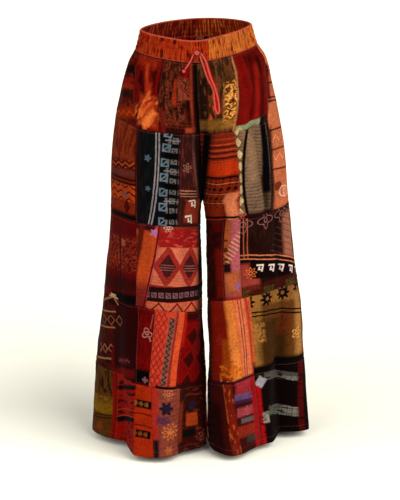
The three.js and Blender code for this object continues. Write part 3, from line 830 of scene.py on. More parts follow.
def cotton_group():
    """The look of the cloth itself: a dye that isn't quite even, slubs and a plain weave."""
    group = bpy.data.node_groups.new("cotton", "ShaderNodeTree")
    group.interface.new_socket(name="Chart", in_out="INPUT", socket_type="NodeSocketVector")
    group.interface.new_socket(name="Dye", in_out="INPUT", socket_type="NodeSocketColor")
    group.interface.new_socket(name="Seed", in_out="INPUT", socket_type="NodeSocketFloat")
    group.interface.new_socket(name="Colour", in_out="OUTPUT", socket_type="NodeSocketColor")
    group.interface.new_socket(name="Roughness", in_out="OUTPUT", socket_type="NodeSocketFloat")
    group.interface.new_socket(name="Height", in_out="OUTPUT", socket_type="NodeSocketFloat")
    given = group.nodes.new("NodeGroupInput")
    result = group.nodes.new("NodeGroupOutput")
    seed = Amount(group, given.outputs["Seed"])
    parts = group.nodes.new("ShaderNodeSeparateXYZ")
    group.links.new(given.outputs["Chart"], parts.inputs["Vector"])
    x = Amount(group, parts.outputs["X"])
    y = Amount(group, parts.outputs["Y"])
    clouds = x.mixed(0.03, seed, y) - 0.5
    blots = x.mixed(0.16, seed + 3, y) - 0.5
    warp_slub = x.mixed(0.9, seed + 5, y * 0.05) - 0.5
    weft_slub = y.mixed(0.9, seed + 6, x * 0.05) - 0.5
    warp = (x * (2 * math.pi / 1.1)).worked("SINE")
    weft = (y * (2 * math.pi / 1.1)).worked("SINE")
    weave = warp * weft
    figure = x.mixed(0.075, seed + 9, y)
    veins = inked(figure.repeated(0.11).size() * 60 - 0.7, 1.2)
    specks = (x.mixed(0.2, seed + 12, y, detail=3.0) - 0.5) * (figure * 4 - 1)
    tone = clouds * 0.7 + blots * 0.6 + warp_slub * 0.5 + weft_slub * 0.45 + weave * 0.04 + 1.04
    tone = tone - veins * 0.3 + specks * 0.9
    shaded = group.nodes.new("ShaderNodeHueSaturation")
    group.links.new(given.outputs["Dye"], shaded.inputs["Color"])
    group.links.new(tone.socket, shaded.inputs["Value"])
    group.links.new(shaded.outputs["Color"], result.inputs["Colour"])
    group.links.new((blots * 0.2 + 0.82).socket, result.inputs["Roughness"])
    group.links.new((weave * 0.5 + warp_slub + weft_slub).socket, result.inputs["Height"])
    return group


COTTON = cotton_group()


def dye(red, green, blue):
    """A colour from its amounts out of 255, as the shaders count it."""
    return tuple(max(0.0, part / 255) ** 2.2 for part in (red, green, blue)) + (1.0,)


def printed_cotton(name, ground, layers):
    """A cotton material: the ground's dye with the printed layers over it, each of them a motif, an
    ink, a place (across, down, half width, half height, turn) and the motif's own sizes."""
    finish = bpy.data.materials.new(name)
    finish.use_nodes = True
    tree = finish.node_tree
    shader = tree.nodes["Principled BSDF"]
    shader.inputs["Sheen Weight"].default_value = SHEEN
    shader.inputs["Sheen Roughness"].default_value = 0.5
    shader.inputs["Specular IOR Level"].default_value = 0.02
    chart = tree.nodes.new("ShaderNodeUVMap")
    chart.uv_map = "cloth"
    base = tree.nodes.new("ShaderNodeRGB")
    base.outputs[0].default_value = dye(*ground)
    colour = base.outputs[0]
    seed = sum(ord(letter) * (k + 3) for k, letter in enumerate(name)) % 97
    for step, (motif, ink, place, sizes) in enumerate(layers):
        mask = tree.nodes.new("ShaderNodeGroup")
        mask.node_tree = MOTIF_GROUPS[motif]
        mask.inputs["Seed"].default_value = seed + step * 11
        for title, value in zip(("Across", "Down", "Half width", "Half height", "Turn"), place):
            mask.inputs[title].default_value = value
        for title, value in sizes.items():
            mask.inputs[title].default_value = value
        tree.links.new(chart.outputs["UV"], mask.inputs["Chart"])
        printed = tree.nodes.new("ShaderNodeMix")
        printed.data_type = "RGBA"
        printed.inputs["B"].default_value = dye(*ink)
        tree.links.new(colour, printed.inputs["A"])
        tree.links.new(mask.outputs["Mask"], printed.inputs["Factor"])
        colour = printed.outputs["Result"]
    cloth = tree.nodes.new("ShaderNodeGroup")
    cloth.node_tree = COTTON
    cloth.inputs["Seed"].default_value = seed
    tree.links.new(chart.outputs["UV"], cloth.inputs["Chart"])
    tree.links.new(colour, cloth.inputs["Dye"])
    bump = tree.nodes.new("ShaderNodeBump")
    bump.inputs["Distance"].default_value = 0.0003
    bump.inputs["Strength"].default_value = 0.5
    tree.links.new(cloth.outputs["Height"], bump.inputs["Height"])
    tree.links.new(bump.outputs["Normal"], shader.inputs["Normal"])
    # Painted shade: the cloth's colour is mixed towards near black in the hollows between the folds.
    painted_hollow_shade = tree.nodes.new("ShaderNodeAttribute")
    painted_hollow_shade.attribute_name = "painted_hollow_shade"
    shaded = tree.nodes.new("ShaderNodeMix")
    shaded.data_type = "RGBA"
    shaded.inputs["B"].default_value = dye(6, 2, 2)
    tree.links.new(painted_hollow_shade.outputs["Fac"], shaded.inputs["Factor"])
    tree.links.new(cloth.outputs["Colour"], shaded.inputs["A"])
    tree.links.new(shaded.outputs["Result"], shader.inputs["Base Color"])
    tree.links.new(cloth.outputs["Roughness"], shader.inputs["Roughness"])
    return finish


def stitch_tree():
    """Short straight stitches set out along the edges of a mesh, each turned along its line."""
    tree = bpy.data.node_groups.new("stitches", "GeometryNodeTree")
    tree.interface.new_socket(name="Lines", in_out="INPUT", socket_type="NodeSocketGeometry")
    for title, usual in (("Pitch", 0.0036), ("Stitch length", 0.0026), ("Thread", 0.00026)):
        socket = tree.interface.new_socket(name=title, in_out="INPUT", socket_type="NodeSocketFloat")
        socket.default_value = usual
    tree.interface.new_socket(name="Finish", in_out="INPUT", socket_type="NodeSocketMaterial")
    tree.interface.new_socket(name="Stitches", in_out="OUTPUT", socket_type="NodeSocketGeometry")
    given = tree.nodes.new("NodeGroupInput")
    result = tree.nodes.new("NodeGroupOutput")
    curve = tree.nodes.new("GeometryNodeMeshToCurve")
    spaced = tree.nodes.new("GeometryNodeResampleCurve")
    spaced.mode = "LENGTH"
    stitch = tree.nodes.new("GeometryNodeMeshCylinder")
    stitch.inputs["Vertices"].default_value = 5
    ahead = tree.nodes.new("GeometryNodeInputTangent")
    turned = tree.nodes.new("FunctionNodeAlignRotationToVector")
    turned.axis = "Z"
    chance = tree.nodes.new("FunctionNodeRandomValue")
    chance.data_type = "FLOAT"
    chance.inputs[2].default_value = 0.86
    chance.inputs[3].default_value = 1.08
    chance.inputs["Seed"].default_value = 7
    placed = tree.nodes.new("GeometryNodeInstanceOnPoints")
    solid = tree.nodes.new("GeometryNodeRealizeInstances")
    painted = tree.nodes.new("GeometryNodeSetMaterial")
    for source, out, target, into in (
        (given, "Lines", curve, "Mesh"),
        (curve, "Curve", spaced, "Curve"),
        (given, "Pitch", spaced, "Length"),
        (given, "Thread", stitch, "Radius"),
        (given, "Stitch length", stitch, "Depth"),
        (ahead, "Tangent", turned, "Vector"),
        (spaced, "Curve", placed, "Points"),
        (stitch, "Mesh", placed, "Instance"),
        (turned, "Rotation", placed, "Rotation"),
        (chance, 1, placed, "Scale"),
        (placed, "Instances", solid, "Geometry"),
        (solid, "Geometry", painted, "Geometry"),
        (given, "Finish", painted, "Material"),
        (painted, "Geometry", result, "Stitches"),
    ):
        tree.links.new(source.outputs[out], target.inputs[into])
    return tree


STITCHES = stitch_tree()
THREAD = yarn("thread_cotton", 1400.0, (0.035, 0.006, 0.005, 1), (0.15, 0.028, 0.020, 1), 0.6)[0]


def sewn_stitches(name, lines):
    """The stitches along lines of points in millimetres, as one plain mesh."""
    points = []
    edges = []
    for line in lines:
        start = len(points)
        points += [tuple(place * 0.001) for place in line]
        edges += [(k, k + 1) for k in range(start, len(points) - 1)]
    mesh = bpy.data.meshes.new(name)
    mesh.from_pydata(points, edges, [])
    piece = bpy.data.objects.new(name, mesh)
    scene.collection.objects.link(piece)
    modifier = piece.modifiers.new("stitches", "NODES")
    modifier.node_group = STITCHES
    for item in STITCHES.interface.items_tree:
        if item.name == "Finish":
            modifier[item.identifier] = THREAD
    graph = bpy.context.evaluated_depsgraph_get()
    made = bpy.data.meshes.new_from_object(piece.evaluated_get(graph))
    piece.modifiers.clear()
    piece.data = made
    bpy.data.meshes.remove(mesh)
    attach(piece, "root")
    return piece


def sew_patch(name, edges, ground, layers):
    """One patch: its thin cloth with its printed cotton in place of its CAD part, and its stitches."""
    outer, inner = edges
    piece, grid = patch_piece(name, outer, inner)
    piece.data.materials.append(printed_cotton("cotton_" + name, ground, layers))
    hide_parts(name)
    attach(piece, "root")
    width = grid["width"] * 0.001
    stitches = sewn_stitches("stitches_" + name, grid["stitches"])
    "gathered" if "_1" in name else "hung"


def sew_band(patches):
    for name, (edges, ground, layers) in patches.items():
        sew_patch(name, edges, ground, layers)


# Left leg, band 1: three printed cottons gathered into the waistband and topstitched together: a dark
# brown that goes round the side, an orange flame print and a dark scroll print at the centre front.
LEFT_BAND_1 = {
    "left_front_1a": (((-40, -50), (32, 112)), (67, 15, 4), [
        ("streaks", (94, 33, 9), (50, 80, 100, 100, -4),
         {"Pitch": 26, "Spacing": 9, "Cover": 0.44, "Strength": 0.7}),
        ("block", (8, 3, 2), (48, 44, 80, 11, -8), {"Fade": 10, "Strength": 0.9}),
        ("block", (105, 15, 7), (52, 69, 80, 5, -10), {"Fade": 5}),
        ("block", (118, 28, 9), (52, 82, 80, 4, -10), {"Fade": 5}),
        ("block", (17, 4, 2), (40, 102, 80, 8, -9), {"Fade": 9, "Strength": 0.8}),
        ("block", (103, 32, 8), (60, 138, 80, 11, -16), {"Fade": 7}),
        ("zigzag", (145, 50, 13), (50, 142, 80, 13, -14),
         {"Pitch": 26, "Rise": 9, "Spacing": 20, "Width": 3}),
    ]),
    "left_front_1b": (((32, 112), (112, 177)), (83, 10, 4), [
        ("streaks", (31, 3, 3), (0, 90, 60, 100, 0),
         {"Pitch": 8, "Spacing": 40, "Cover": 0.46, "Strength": 0.8}),
        ("block", (118, 32, 12), (0, 14, 24, 12, 0), {"Fade": 12, "Strength": 0.7}),
        ("block", (149, 47, 21), (3, 52, 4, 34, -7), {"Fade": 8}),
        ("block", (132, 37, 16), (9, 86, 6, 24, 0), {"Fade": 10}),
        ("block", (141, 47, 20), (6, 128, 20, 34, 8), {"Fade": 16, "Strength": 0.85}),
        ("streaks", (173, 79, 36), (4, 130, 44, 26, -52),
         {"Pitch": 40, "Spacing": 9, "Cover": 0.48, "Fade": 14}),
        ("block", (169, 74, 31), (2, 120, 24, 3, -52), {"Fade": 7}),
        ("block", (189, 95, 44), (6, 144, 28, 6, -48), {"Fade": 9}),
        ("streaks", (95, 21, 8), (4, 130, 44, 30, -52),
         {"Pitch": 46, "Spacing": 7, "Cover": 0.34, "Fade": 12}),
    ]),
    "left_front_1c": (((112, 177), (EDGE, EDGE)), (42, 13, 8), [
        ("scrolls", (98, 43, 28), (-16, 75, 30, 75, 0),
         {"Pitch": 8, "Width": 1.2, "Fade": 12, "Strength": 0.85}),
        ("streaks", (23, 6, 4), (0, 90, 60, 100, 0),
         {"Pitch": 9, "Spacing": 34, "Cover": 0.46, "Fade": 8, "Strength": 0.8}),
        ("block", (127, 38, 17), (-7, 70, 4, 30, 2), {"Fade": 5}),
        ("scrolls", (106, 46, 31), (14, 60, 14, 26, 0), {"Pitch": 9, "Width": 1.2, "Fade": 4}),
        ("block", (102, 11, 13), (20, 18, 9, 18, 20), {"Fade": 9}),
        ("block", (112, 41, 25), (31, 84, 3, 84, 0), {"Fade": 5}),
        ("stripes", (104, 35, 16), (0, 145, 60, 8, 3), {"Pitch": 8, "Width": 1.4}),
        ("block", (128, 50, 31), (22, 158, 12, 6, 0), {"Fade": 7}),
        ("block", (86, 17, 9), (-42, 138, 5, 30, 0), {"Fade": 7}),
        # Painted shade: a near-black strip down the fold at the centre front.
        ("block", (7, 1, 2), (43, 84, 4, 90, 0), {"Fade": 5}),
    ]),
}
sew_band(LEFT_BAND_1)

# Left leg, band 2: brown cotton with soft stripes and zigzag borders, black cotton with a double
# stripe and rows of pale squares, and a dark brown beside the crotch. Plain seams, topstitched.
LEFT_BAND_2 = {
    "left_front_2a": (((-70, -80), (113, 141)), (79, 24, 10), [
        ("streaks", (98, 37, 16), (50, 40, 90, 60, 0), {"Pitch": 9, "Cover": 0.5}),
        ("block", (31, 10, 6), (50, 100, 100, 12, -10), {"Fade": 8, "Strength": 0.7}),
        ("zigzag", (138, 50, 17), (60, 98, 100, 9, -14),
         {"Pitch": 26, "Rise": 8, "Spacing": 12, "Width": 4}),
        ("block", (77, 35, 28), (50, 119, 100, 7, -9), {"Fade": 6}),
        ("pair", (22, 2, 2), (50, 137, 100, 9, -5), {"Pitch": 10, "Width": 4}),
        ("block", (130, 47, 16), (50, 165, 100, 20, -4), {"Fade": 4}),
        ("zigzag", (35, 6, 3), (50, 165, 100, 18, -4),
         {"Pitch": 27, "Rise": 9, "Spacing": 16, "Width": 4}),
        ("block", (96, 30, 12), (50, 200, 100, 11, -4), {"Fade": 6}),
        ("diamonds", (88, 57, 55), (76, 167, 12, 10, 0),
         {"Pitch": 24, "Spacing": 20, "Ring": 0, "Width": 0.9}),
        ("diamonds", (58, 5, 3), (84, 196, 12, 20, 0),
         {"Pitch": 24, "Spacing": 40, "Ring": 0, "Width": 0.9}),
        ("block", (16, 3, 2), (50, 222, 100, 7, -4), {"Fade": 6}),
    ]),
    "left_front_2b": (((113, 141), (226, 243)), (12, 13, 14), [
        ("streaks", (18, 19, 20), (-30, 110, 26, 120, 0), {"Pitch": 8, "Spacing": 50, "Cover": 0.46}),
        ("block", (38, 6, 5), (-50, 110, 5, 120, 0), {"Fade": 9}),
        ("pair", (113, 105, 106), (1, 70, 200, 12, 90), {"Pitch": 7, "Width": 3.2, "Bow": 8}),
        ("rosettes", (62, 74, 85), (-22, 62, 11, 11, 0), {"Petals": 5, "Ring": 9}),
        ("rosettes", (62, 74, 85), (-20, 134, 9, 9, 0), {"Petals": 5, "Ring": 7}),
        ("squares", (77, 90, 100), (17, 104, 12, 300, 2.5),
         {"Pitch": 40, "Spacing": 35, "Ring": 8, "Width": 3.6, "Wobble": 0.4}),
        ("squares", (86, 80, 79), (38, 88, 17, 300, 1.5),
         {"Pitch": 18, "Spacing": 24, "Ring": 5.5, "Width": 3, "Strength": 0.9}),
        ("block", (4, 5, 6), (38, 52, 20, 8, 0), {"Fade": 3}),
        ("block", (4, 5, 6), (38, 124, 20, 8, 0), {"Fade": 3}),
        ("block", (4, 5, 6), (36, 196, 20, 8, 0), {"Fade": 3}),
        ("stripes", (97, 90, 90), (36, 88, 20, 300, 0), {"Pitch": 72, "Spacing": 72, "Width": 3}),
        ("block", (49, 12, 9), (54, 110, 4, 120, 0), {"Fade": 5}),
    ]),
    "left_front_2c": (((226, 243), (EDGE, EDGE)), (45, 20, 17), [
        ("streaks", (74, 31, 26), (-20, 100, 30, 100, 0), {"Pitch": 8, "Spacing": 30, "Cover": 0.42}),
        # A mauve stripe, partly print and partly painted sheen.
        ("block", (97, 58, 52), (9, 80, 3, 80, -2), {"Fade": 7}),
        ("flowers", (112, 74, 61), (-14, 80, 13, 13, 0), {"Petals": 5, "Ring": 11, "Width": 3}),
        ("stripes", (139, 91, 70), (-22, 149, 26, 15, 7), {"Pitch": 9, "Width": 3}),
        ("block", (114, 39, 26), (-20, 200, 26, 30, 4), {"Fade": 8, "Strength": 0.8}),
        ("hooks", (175, 165, 143), (-25, 182, 14, 12, -6), {"Ring": 11}),
        ("hooks", (175, 165, 143), (-33, 222, 14, 12, -6), {"Ring": 11}),
        # Painted shade in the dark fold at the centre front, by the crotch.
        ("block", (12, 4, 3), (36, 130, 22, 200, 0), {"Fade": 16}),
    ]),
}
sew_band(LEFT_BAND_2)

# Left leg, band 3: dark maroon cotton with faint outlined flowers, a narrow orange strip with a red
# piping, and a bordered crimson cotton with salmon triangles. Plain seams, topstitched.
LEFT_BAND_3 = {
    "left_front_3a": (((-60, -60), (142, 167)), (68, 5, 3), [
        ("scrolls", (107, 38, 24), (50, 88, 60, 42, -6), {"Pitch": 11, "Width": 1.2, "Fade": 12}),
        ("flowers", (125, 50, 30), (48, 96, 24, 20, 0), {"Petals": 5, "Ring": 17, "Width": 2}),
        ("stripes", (164, 96, 60), (61, 60, 8, 6, 90), {"Pitch": 5, "Width": 2}),
        ("block", (46, 8, 8), (60, 162, 120, 16, -6), {"Fade": 10}),
        ("stripes", (14, 1, 1), (60, 162, 120, 16, 84), {"Pitch": 17, "Width": 4, "Soft": 4}),
        ("block", (12, 1, 1), (90, 194, 60, 14, -6), {"Fade": 10}),
        ("rosettes", (144, 112, 89), (38, 204, 20, 10, 0),
         {"Petals": 6, "Ring": 18, "Pitch": 80, "Spacing": 80}),
    ]),
    "left_front_3b": (((142, 167), (200, 190)), (141, 53, 24), [
        ("block", (45, 10, 18), (-8, 3, 26, 12, 0), {"Fade": 6}),
        ("rosettes", (137, 82, 116), (16, 17, 12, 12, 0), {"Petals": 5, "Ring": 11}),
        ("block", (70, 19, 13), (-23, 90, 7, 130, 6), {"Fade": 6}),
        ("block", (95, 29, 24), (0, 180, 40, 34, 0), {"Fade": 26}),
        ("block", (164, 79, 76), (18, 110, 4, 70, 5), {"Fade": 4, "Strength": 0.7}),
        ("block", (85, 4, 10), (18, 90, 2.4, 130, 5), {"Fade": 2}),
    ]),
    "left_front_3c": (((200, 190), (EDGE, EDGE)), (103, 28, 23), [
        ("block", (117, 22, 20), (0, 28, 120, 20, 0), {"Fade": 4}),
        ("streaks", (143, 49, 45), (0, 30, 120, 22, 0), {"Pitch": 24, "Spacing": 8, "Cover": 0.42}),
        ("flowers", (153, 116, 98), (-64, 4, 16, 10, 0),
         {"Petals": 6, "Ring": 12, "Pitch": 70, "Spacing": 70}),
        ("block", (161, 81, 59), (0, 97, 120, 46, 0), {"Fade": 2}),
        ("diamonds", (118, 34, 29), (-62, 97, 160, 46, 0),
         {"Pitch": 64, "Spacing": 92, "Ring": 0, "Width": 1.12}),
        ("diamonds", (54, 21, 23), (-62, 97, 160, 46, 0),
         {"Pitch": 64, "Spacing": 92, "Ring": 0, "Width": 0.66}),
        ("stripes", (132, 80, 69), (-62, 100, 17, 7, 0), {"Pitch": 6, "Width": 1.3}),
        ("stripes", (132, 80, 69), (2, 100, 17, 7, 0), {"Pitch": 6, "Width": 1.3}),
        ("stripes", (125, 48, 35), (0, 130, 120, 9, 0), {"Pitch": 7, "Width": 2, "Strength": 0.5}),
        ("block", (31, 9, 11), (0, 160, 120, 18, -4), {"Fade": 2}),
        ("squares", (97, 65, 68), (-20, 163, 120, 8, -4),
         {"Pitch": 17, "Spacing": 17, "Ring": 5, "Width": 2.6}),
        ("block", (153, 71, 49), (0, 194, 120, 15, -3), {"Fade": 2}),
        ("zigzag", (82, 20, 18), (-8, 194, 120, 15, -3), {"Pitch": 44, "Rise": 24, "Width": 6}),
        # Painted shade on the inner side of the leg, towards the inseam.
        ("block", (11, 3, 2), (56, 100, 24, 200, 0), {"Fade": 26, "Strength": 0.75}),
    ]),
}
sew_band(LEFT_BAND_3)

# Left leg, band 4: black-red cotton with a cream geometric border, a crimson strip, a salmon strip
# with a sawtooth ribbon printed down it, and a dark red diamond print. Plain seams, topstitched.
LEFT_BAND_4 = {
    "left_front_4a": (((-60, -70), (170, 203)), (34, 1, 1), [
        ("block", (56, 10, 6), (0, 90, 46, 120, 0), {"Fade": 3}),
        ("streaks", (24, 4, 1), (0, 90, 46, 120, 0), {"Pitch": 20, "Spacing": 14, "Cover": 0.48}),
        ("block", (122, 76, 54), (4, 12, 34, 2.4, -26), {"Fade": 2}),
        ("block", (122, 76, 54), (46, 4, 14, 2.4, 36), {"Fade": 2}),
        ("block", (122, 76, 52), (4, 43, 46, 1.8, -13), {"Fade": 2}),
        ("diamonds", (103, 63, 43), (32, 58, 46, 14, -13),
         {"Pitch": 34, "Spacing": 30, "Ring": 0.8, "Width": 0.11}),
        ("block", (122, 76, 52), (4, 84, 46, 1.8, -13), {"Fade": 2}),
        ("block", (49, 6, 2), (12, 108, 28, 10, -13), {"Fade": 3}),
        ("diamonds", (126, 80, 57), (12, 138, 32, 13, -13),
         {"Pitch": 26, "Spacing": 26, "Ring": 0.85, "Width": 0.12}),
        ("block", (122, 78, 54), (0, 168, 40, 2.4, -14), {"Fade": 2}),
        ("block", (67, 1, 1), (41, 150, 5, 24, 0), {"Fade": 5}),
        ("block", (54, 7, 8), (86, 148, 27, 9, -17), {"Fade": 3}),
        ("zigzag", (108, 58, 66), (86, 148, 27, 9, -17), {"Pitch": 12, "Rise": 8, "Width": 2.4}),
        ("block", (75, 4, 2), (86, 180, 50, 10, -15), {"Fade": 8}),
    ]),
    "left_front_4b": (((170, 203), (216, 238)), (74, 2, 2), [
        ("streaks", (88, 5, 4), (0, 90, 40, 120, 0), {"Pitch": 8, "Spacing": 30, "Cover": 0.44}),
        ("flowers", (133, 84, 75), (6, 61, 13, 14, 15), {"Petals": 3, "Ring": 13, "Width": 3}),
        ("block", (111, 54, 50), (17, 30, 1.4, 18, 8), {"Fade": 2}),
        ("block", (133, 84, 75), (14, 74, 1.8, 6, -24), {"Fade": 2}),
        ("block", (10, 1, 1), (0, 170, 40, 18, 0), {"Fade": 10}),
        ("flowers", (117, 77, 82), (8, 177, 8, 8, 0), {"Petals": 4, "Ring": 7, "Width": 2.4}),
    ]),
    "left_front_4c": (((216, 238), (296, 311)), (157, 50, 34), [
        ("diamonds", (115, 22, 19), (-22, 95, 15, 120, 0),
         {"Pitch": 13, "Spacing": 22, "Ring": 0.95, "Width": 0.2}),
        ("block", (171, 62, 34), (28, 95, 12, 120, 0), {"Fade": 6}),
        ("block", (97, 35, 29), (14, 95, 3, 120, 1.5), {"Fade": 4}),
        ("block", (95, 60, 51), (2, 98, 7.5, 84, 1.5), {"Fade": 3}),
        ("zigzag", (11, 4, 4), (2, 98, 84, 7.5, 91.5), {"Pitch": 14, "Rise": 10, "Width": 3.6}),
        ("block", (15, 3, 4), (10, 190, 30, 7, 0), {"Fade": 6}),
    ]),
    "left_front_4d": (((296, 311), (EDGE, EDGE)), (93, 5, 1), [
        ("diamonds", (49, 4, 1), (-22, 118, 80, 120, 0),
         {"Pitch": 56, "Spacing": 58, "Ring": 0, "Width": 0.74, "Soft": 5}),
        ("diamonds", (106, 12, 3), (-22, 118, 80, 120, 0),
         {"Pitch": 56, "Spacing": 58, "Ring": 0.95, "Width": 0.07, "Strength": 0.8}),
        ("block", (133, 21, 7), (-54, 40, 6, 44, 0), {"Fade": 7}),
        ("block", (46, 3, 1), (-20, 10, 30, 12, 0), {"Fade": 10}),
        # Painted shade on the inner side of the leg, towards the inseam.
        ("block", (44, 1, 1), (46, 120, 14, 80, 0), {"Fade": 16}),
        ("block", (43, 1, 1), (0, 184, 80, 8, 0), {"Fade": 8}),
    ]),
}
sew_band(LEFT_BAND_4)

# Left leg, band 5: an olive-brown flower print, a bright red with dark bars, a salmon and purple
# flower print and a dark brown. They end in one hem, turned up once and stitched.
LEFT_BAND_5 = {
    "left_front_5a": (((-80, -90), (118, 106)), (67, 39, 8), [
        ("streaks", (29, 15, 3), (40, 26, 90, 34, 0), {"Pitch": 7, "Spacing": 40, "Cover": 0.46}),
        ("rosettes", (20, 10, 2), (60, 64, 24, 12, 0),
         {"Petals": 6, "Ring": 8, "Pitch": 26, "Spacing": 26}),
        ("scrolls", (101, 65, 16), (44, 90, 90, 9, -4), {"Pitch": 9, "Width": 1.4, "Fade": 6}),
        ("block", (95, 67, 9), (46, 114, 44, 15, -4), {"Fade": 9}),
        ("pair", (24, 10, 3), (40, 140, 90, 9, -10), {"Pitch": 8, "Width": 3}),
        ("rosettes", (94, 42, 12), (46, 166, 18, 18, 0), {"Petals": 5, "Ring": 15}),
        ("block", (102, 12, 3), (92, 95, 6, 120, 0), {"Fade": 6}),
    ]),
    "left_front_5b": (((118, 106), (245, 278)), (112, 15, 4), [
        ("streaks", (39, 3, 2), (-10, 90, 100, 100, -18), {"Pitch": 40, "Spacing": 11, "Cover": 0.42}),
        ("block", (13, 4, 2), (-18, 25, 50, 6, -21), {"Fade": 6}),
        ("block", (13, 4, 2), (-24, 110, 54, 7, -20), {"Fade": 6}),
        ("pair", (144, 53, 29), (-20, 92, 60, 20, -19), {"Pitch": 16, "Width": 1.6, "Bow": 8}),
        ("block", (128, 33, 8), (54, 90, 27, 110, -2), {"Fade": 5}),
        ("block", (12, 5, 2), (49, 47, 20, 10, 0), {"Fade": 3}),
        ("flowers", (114, 69, 31), (42, 47, 20, 9, 0),
         {"Petals": 5, "Ring": 6, "Width": 2, "Pitch": 15, "Spacing": 18}),
        ("block", (12, 5, 2), (54, 124, 20, 10, 0), {"Fade": 3}),
        ("flowers", (111, 55, 24), (47, 124, 20, 9, 0),
         {"Petals": 5, "Ring": 6, "Width": 2, "Pitch": 15, "Spacing": 18}),
        ("pair", (68, 9, 2), (50, 86, 30, 20, 0), {"Pitch": 30, "Width": 3, "Bow": 60}),
    ]),
    "left_front_5c": (((245, 278), (328, 348)), (106, 49, 38), [
        ("block", (138, 33, 26), (-33, 60, 10, 70, 0), {"Fade": 6}),
        ("flowers", (155, 87, 61), (2, 12, 18, 15, 0), {"Petals": 8, "Ring": 13, "Width": 3}),
        ("rosettes", (28, 22, 35), (-3, 48, 20, 20, 0), {"Petals": 6, "Ring": 18}),
        ("block", (76, 39, 55), (-10, 78, 16, 9, 0), {"Fade": 6}),
        ("flowers", (162, 91, 50), (8, 108, 30, 34, 0),
         {"Petals": 10, "Ring": 21, "Width": 4, "Pitch": 80, "Spacing": 80}),
        ("rosettes", (160, 80, 42), (8, 108, 12, 12, 0), {"Petals": 6, "Ring": 10}),
        ("stripes", (54, 20, 19), (20, 90, 22, 90, -8), {"Pitch": 12, "Width": 2, "Strength": 0.6}),
        ("block", (29, 14, 22), (-32, 152, 10, 24, 0), {"Fade": 6}),
        ("flowers", (150, 80, 38), (4, 156, 16, 10, 0), {"Petals": 6, "Ring": 10, "Width": 3}),
    ]),
    "left_front_5d": (((328, 348), (EDGE, EDGE)), (43, 13, 8), [
        ("streaks", (79, 30, 23), (20, 80, 60, 100, 0), {"Pitch": 22, "Spacing": 9, "Cover": 0.42}),
        ("block", (97, 32, 14), (-46, 84, 8, 50, 0), {"Fade": 9}),
        ("rosettes", (35, 23, 36), (-2, 49, 15, 14, 0), {"Petals": 6, "Ring": 14}),
        ("block", (130, 49, 20), (-5, 84, 17, 16, 0), {"Fade": 4}),
        ("block", (15, 13, 7), (-16, 118, 19, 9, 0), {"Fade": 5}),
        ("flowers", (110, 55, 48), (28, 132, 22, 20, 0), {"Petals": 5, "Ring": 15, "Width": 3}),
    ]),
}
sew_band(LEFT_BAND_5)

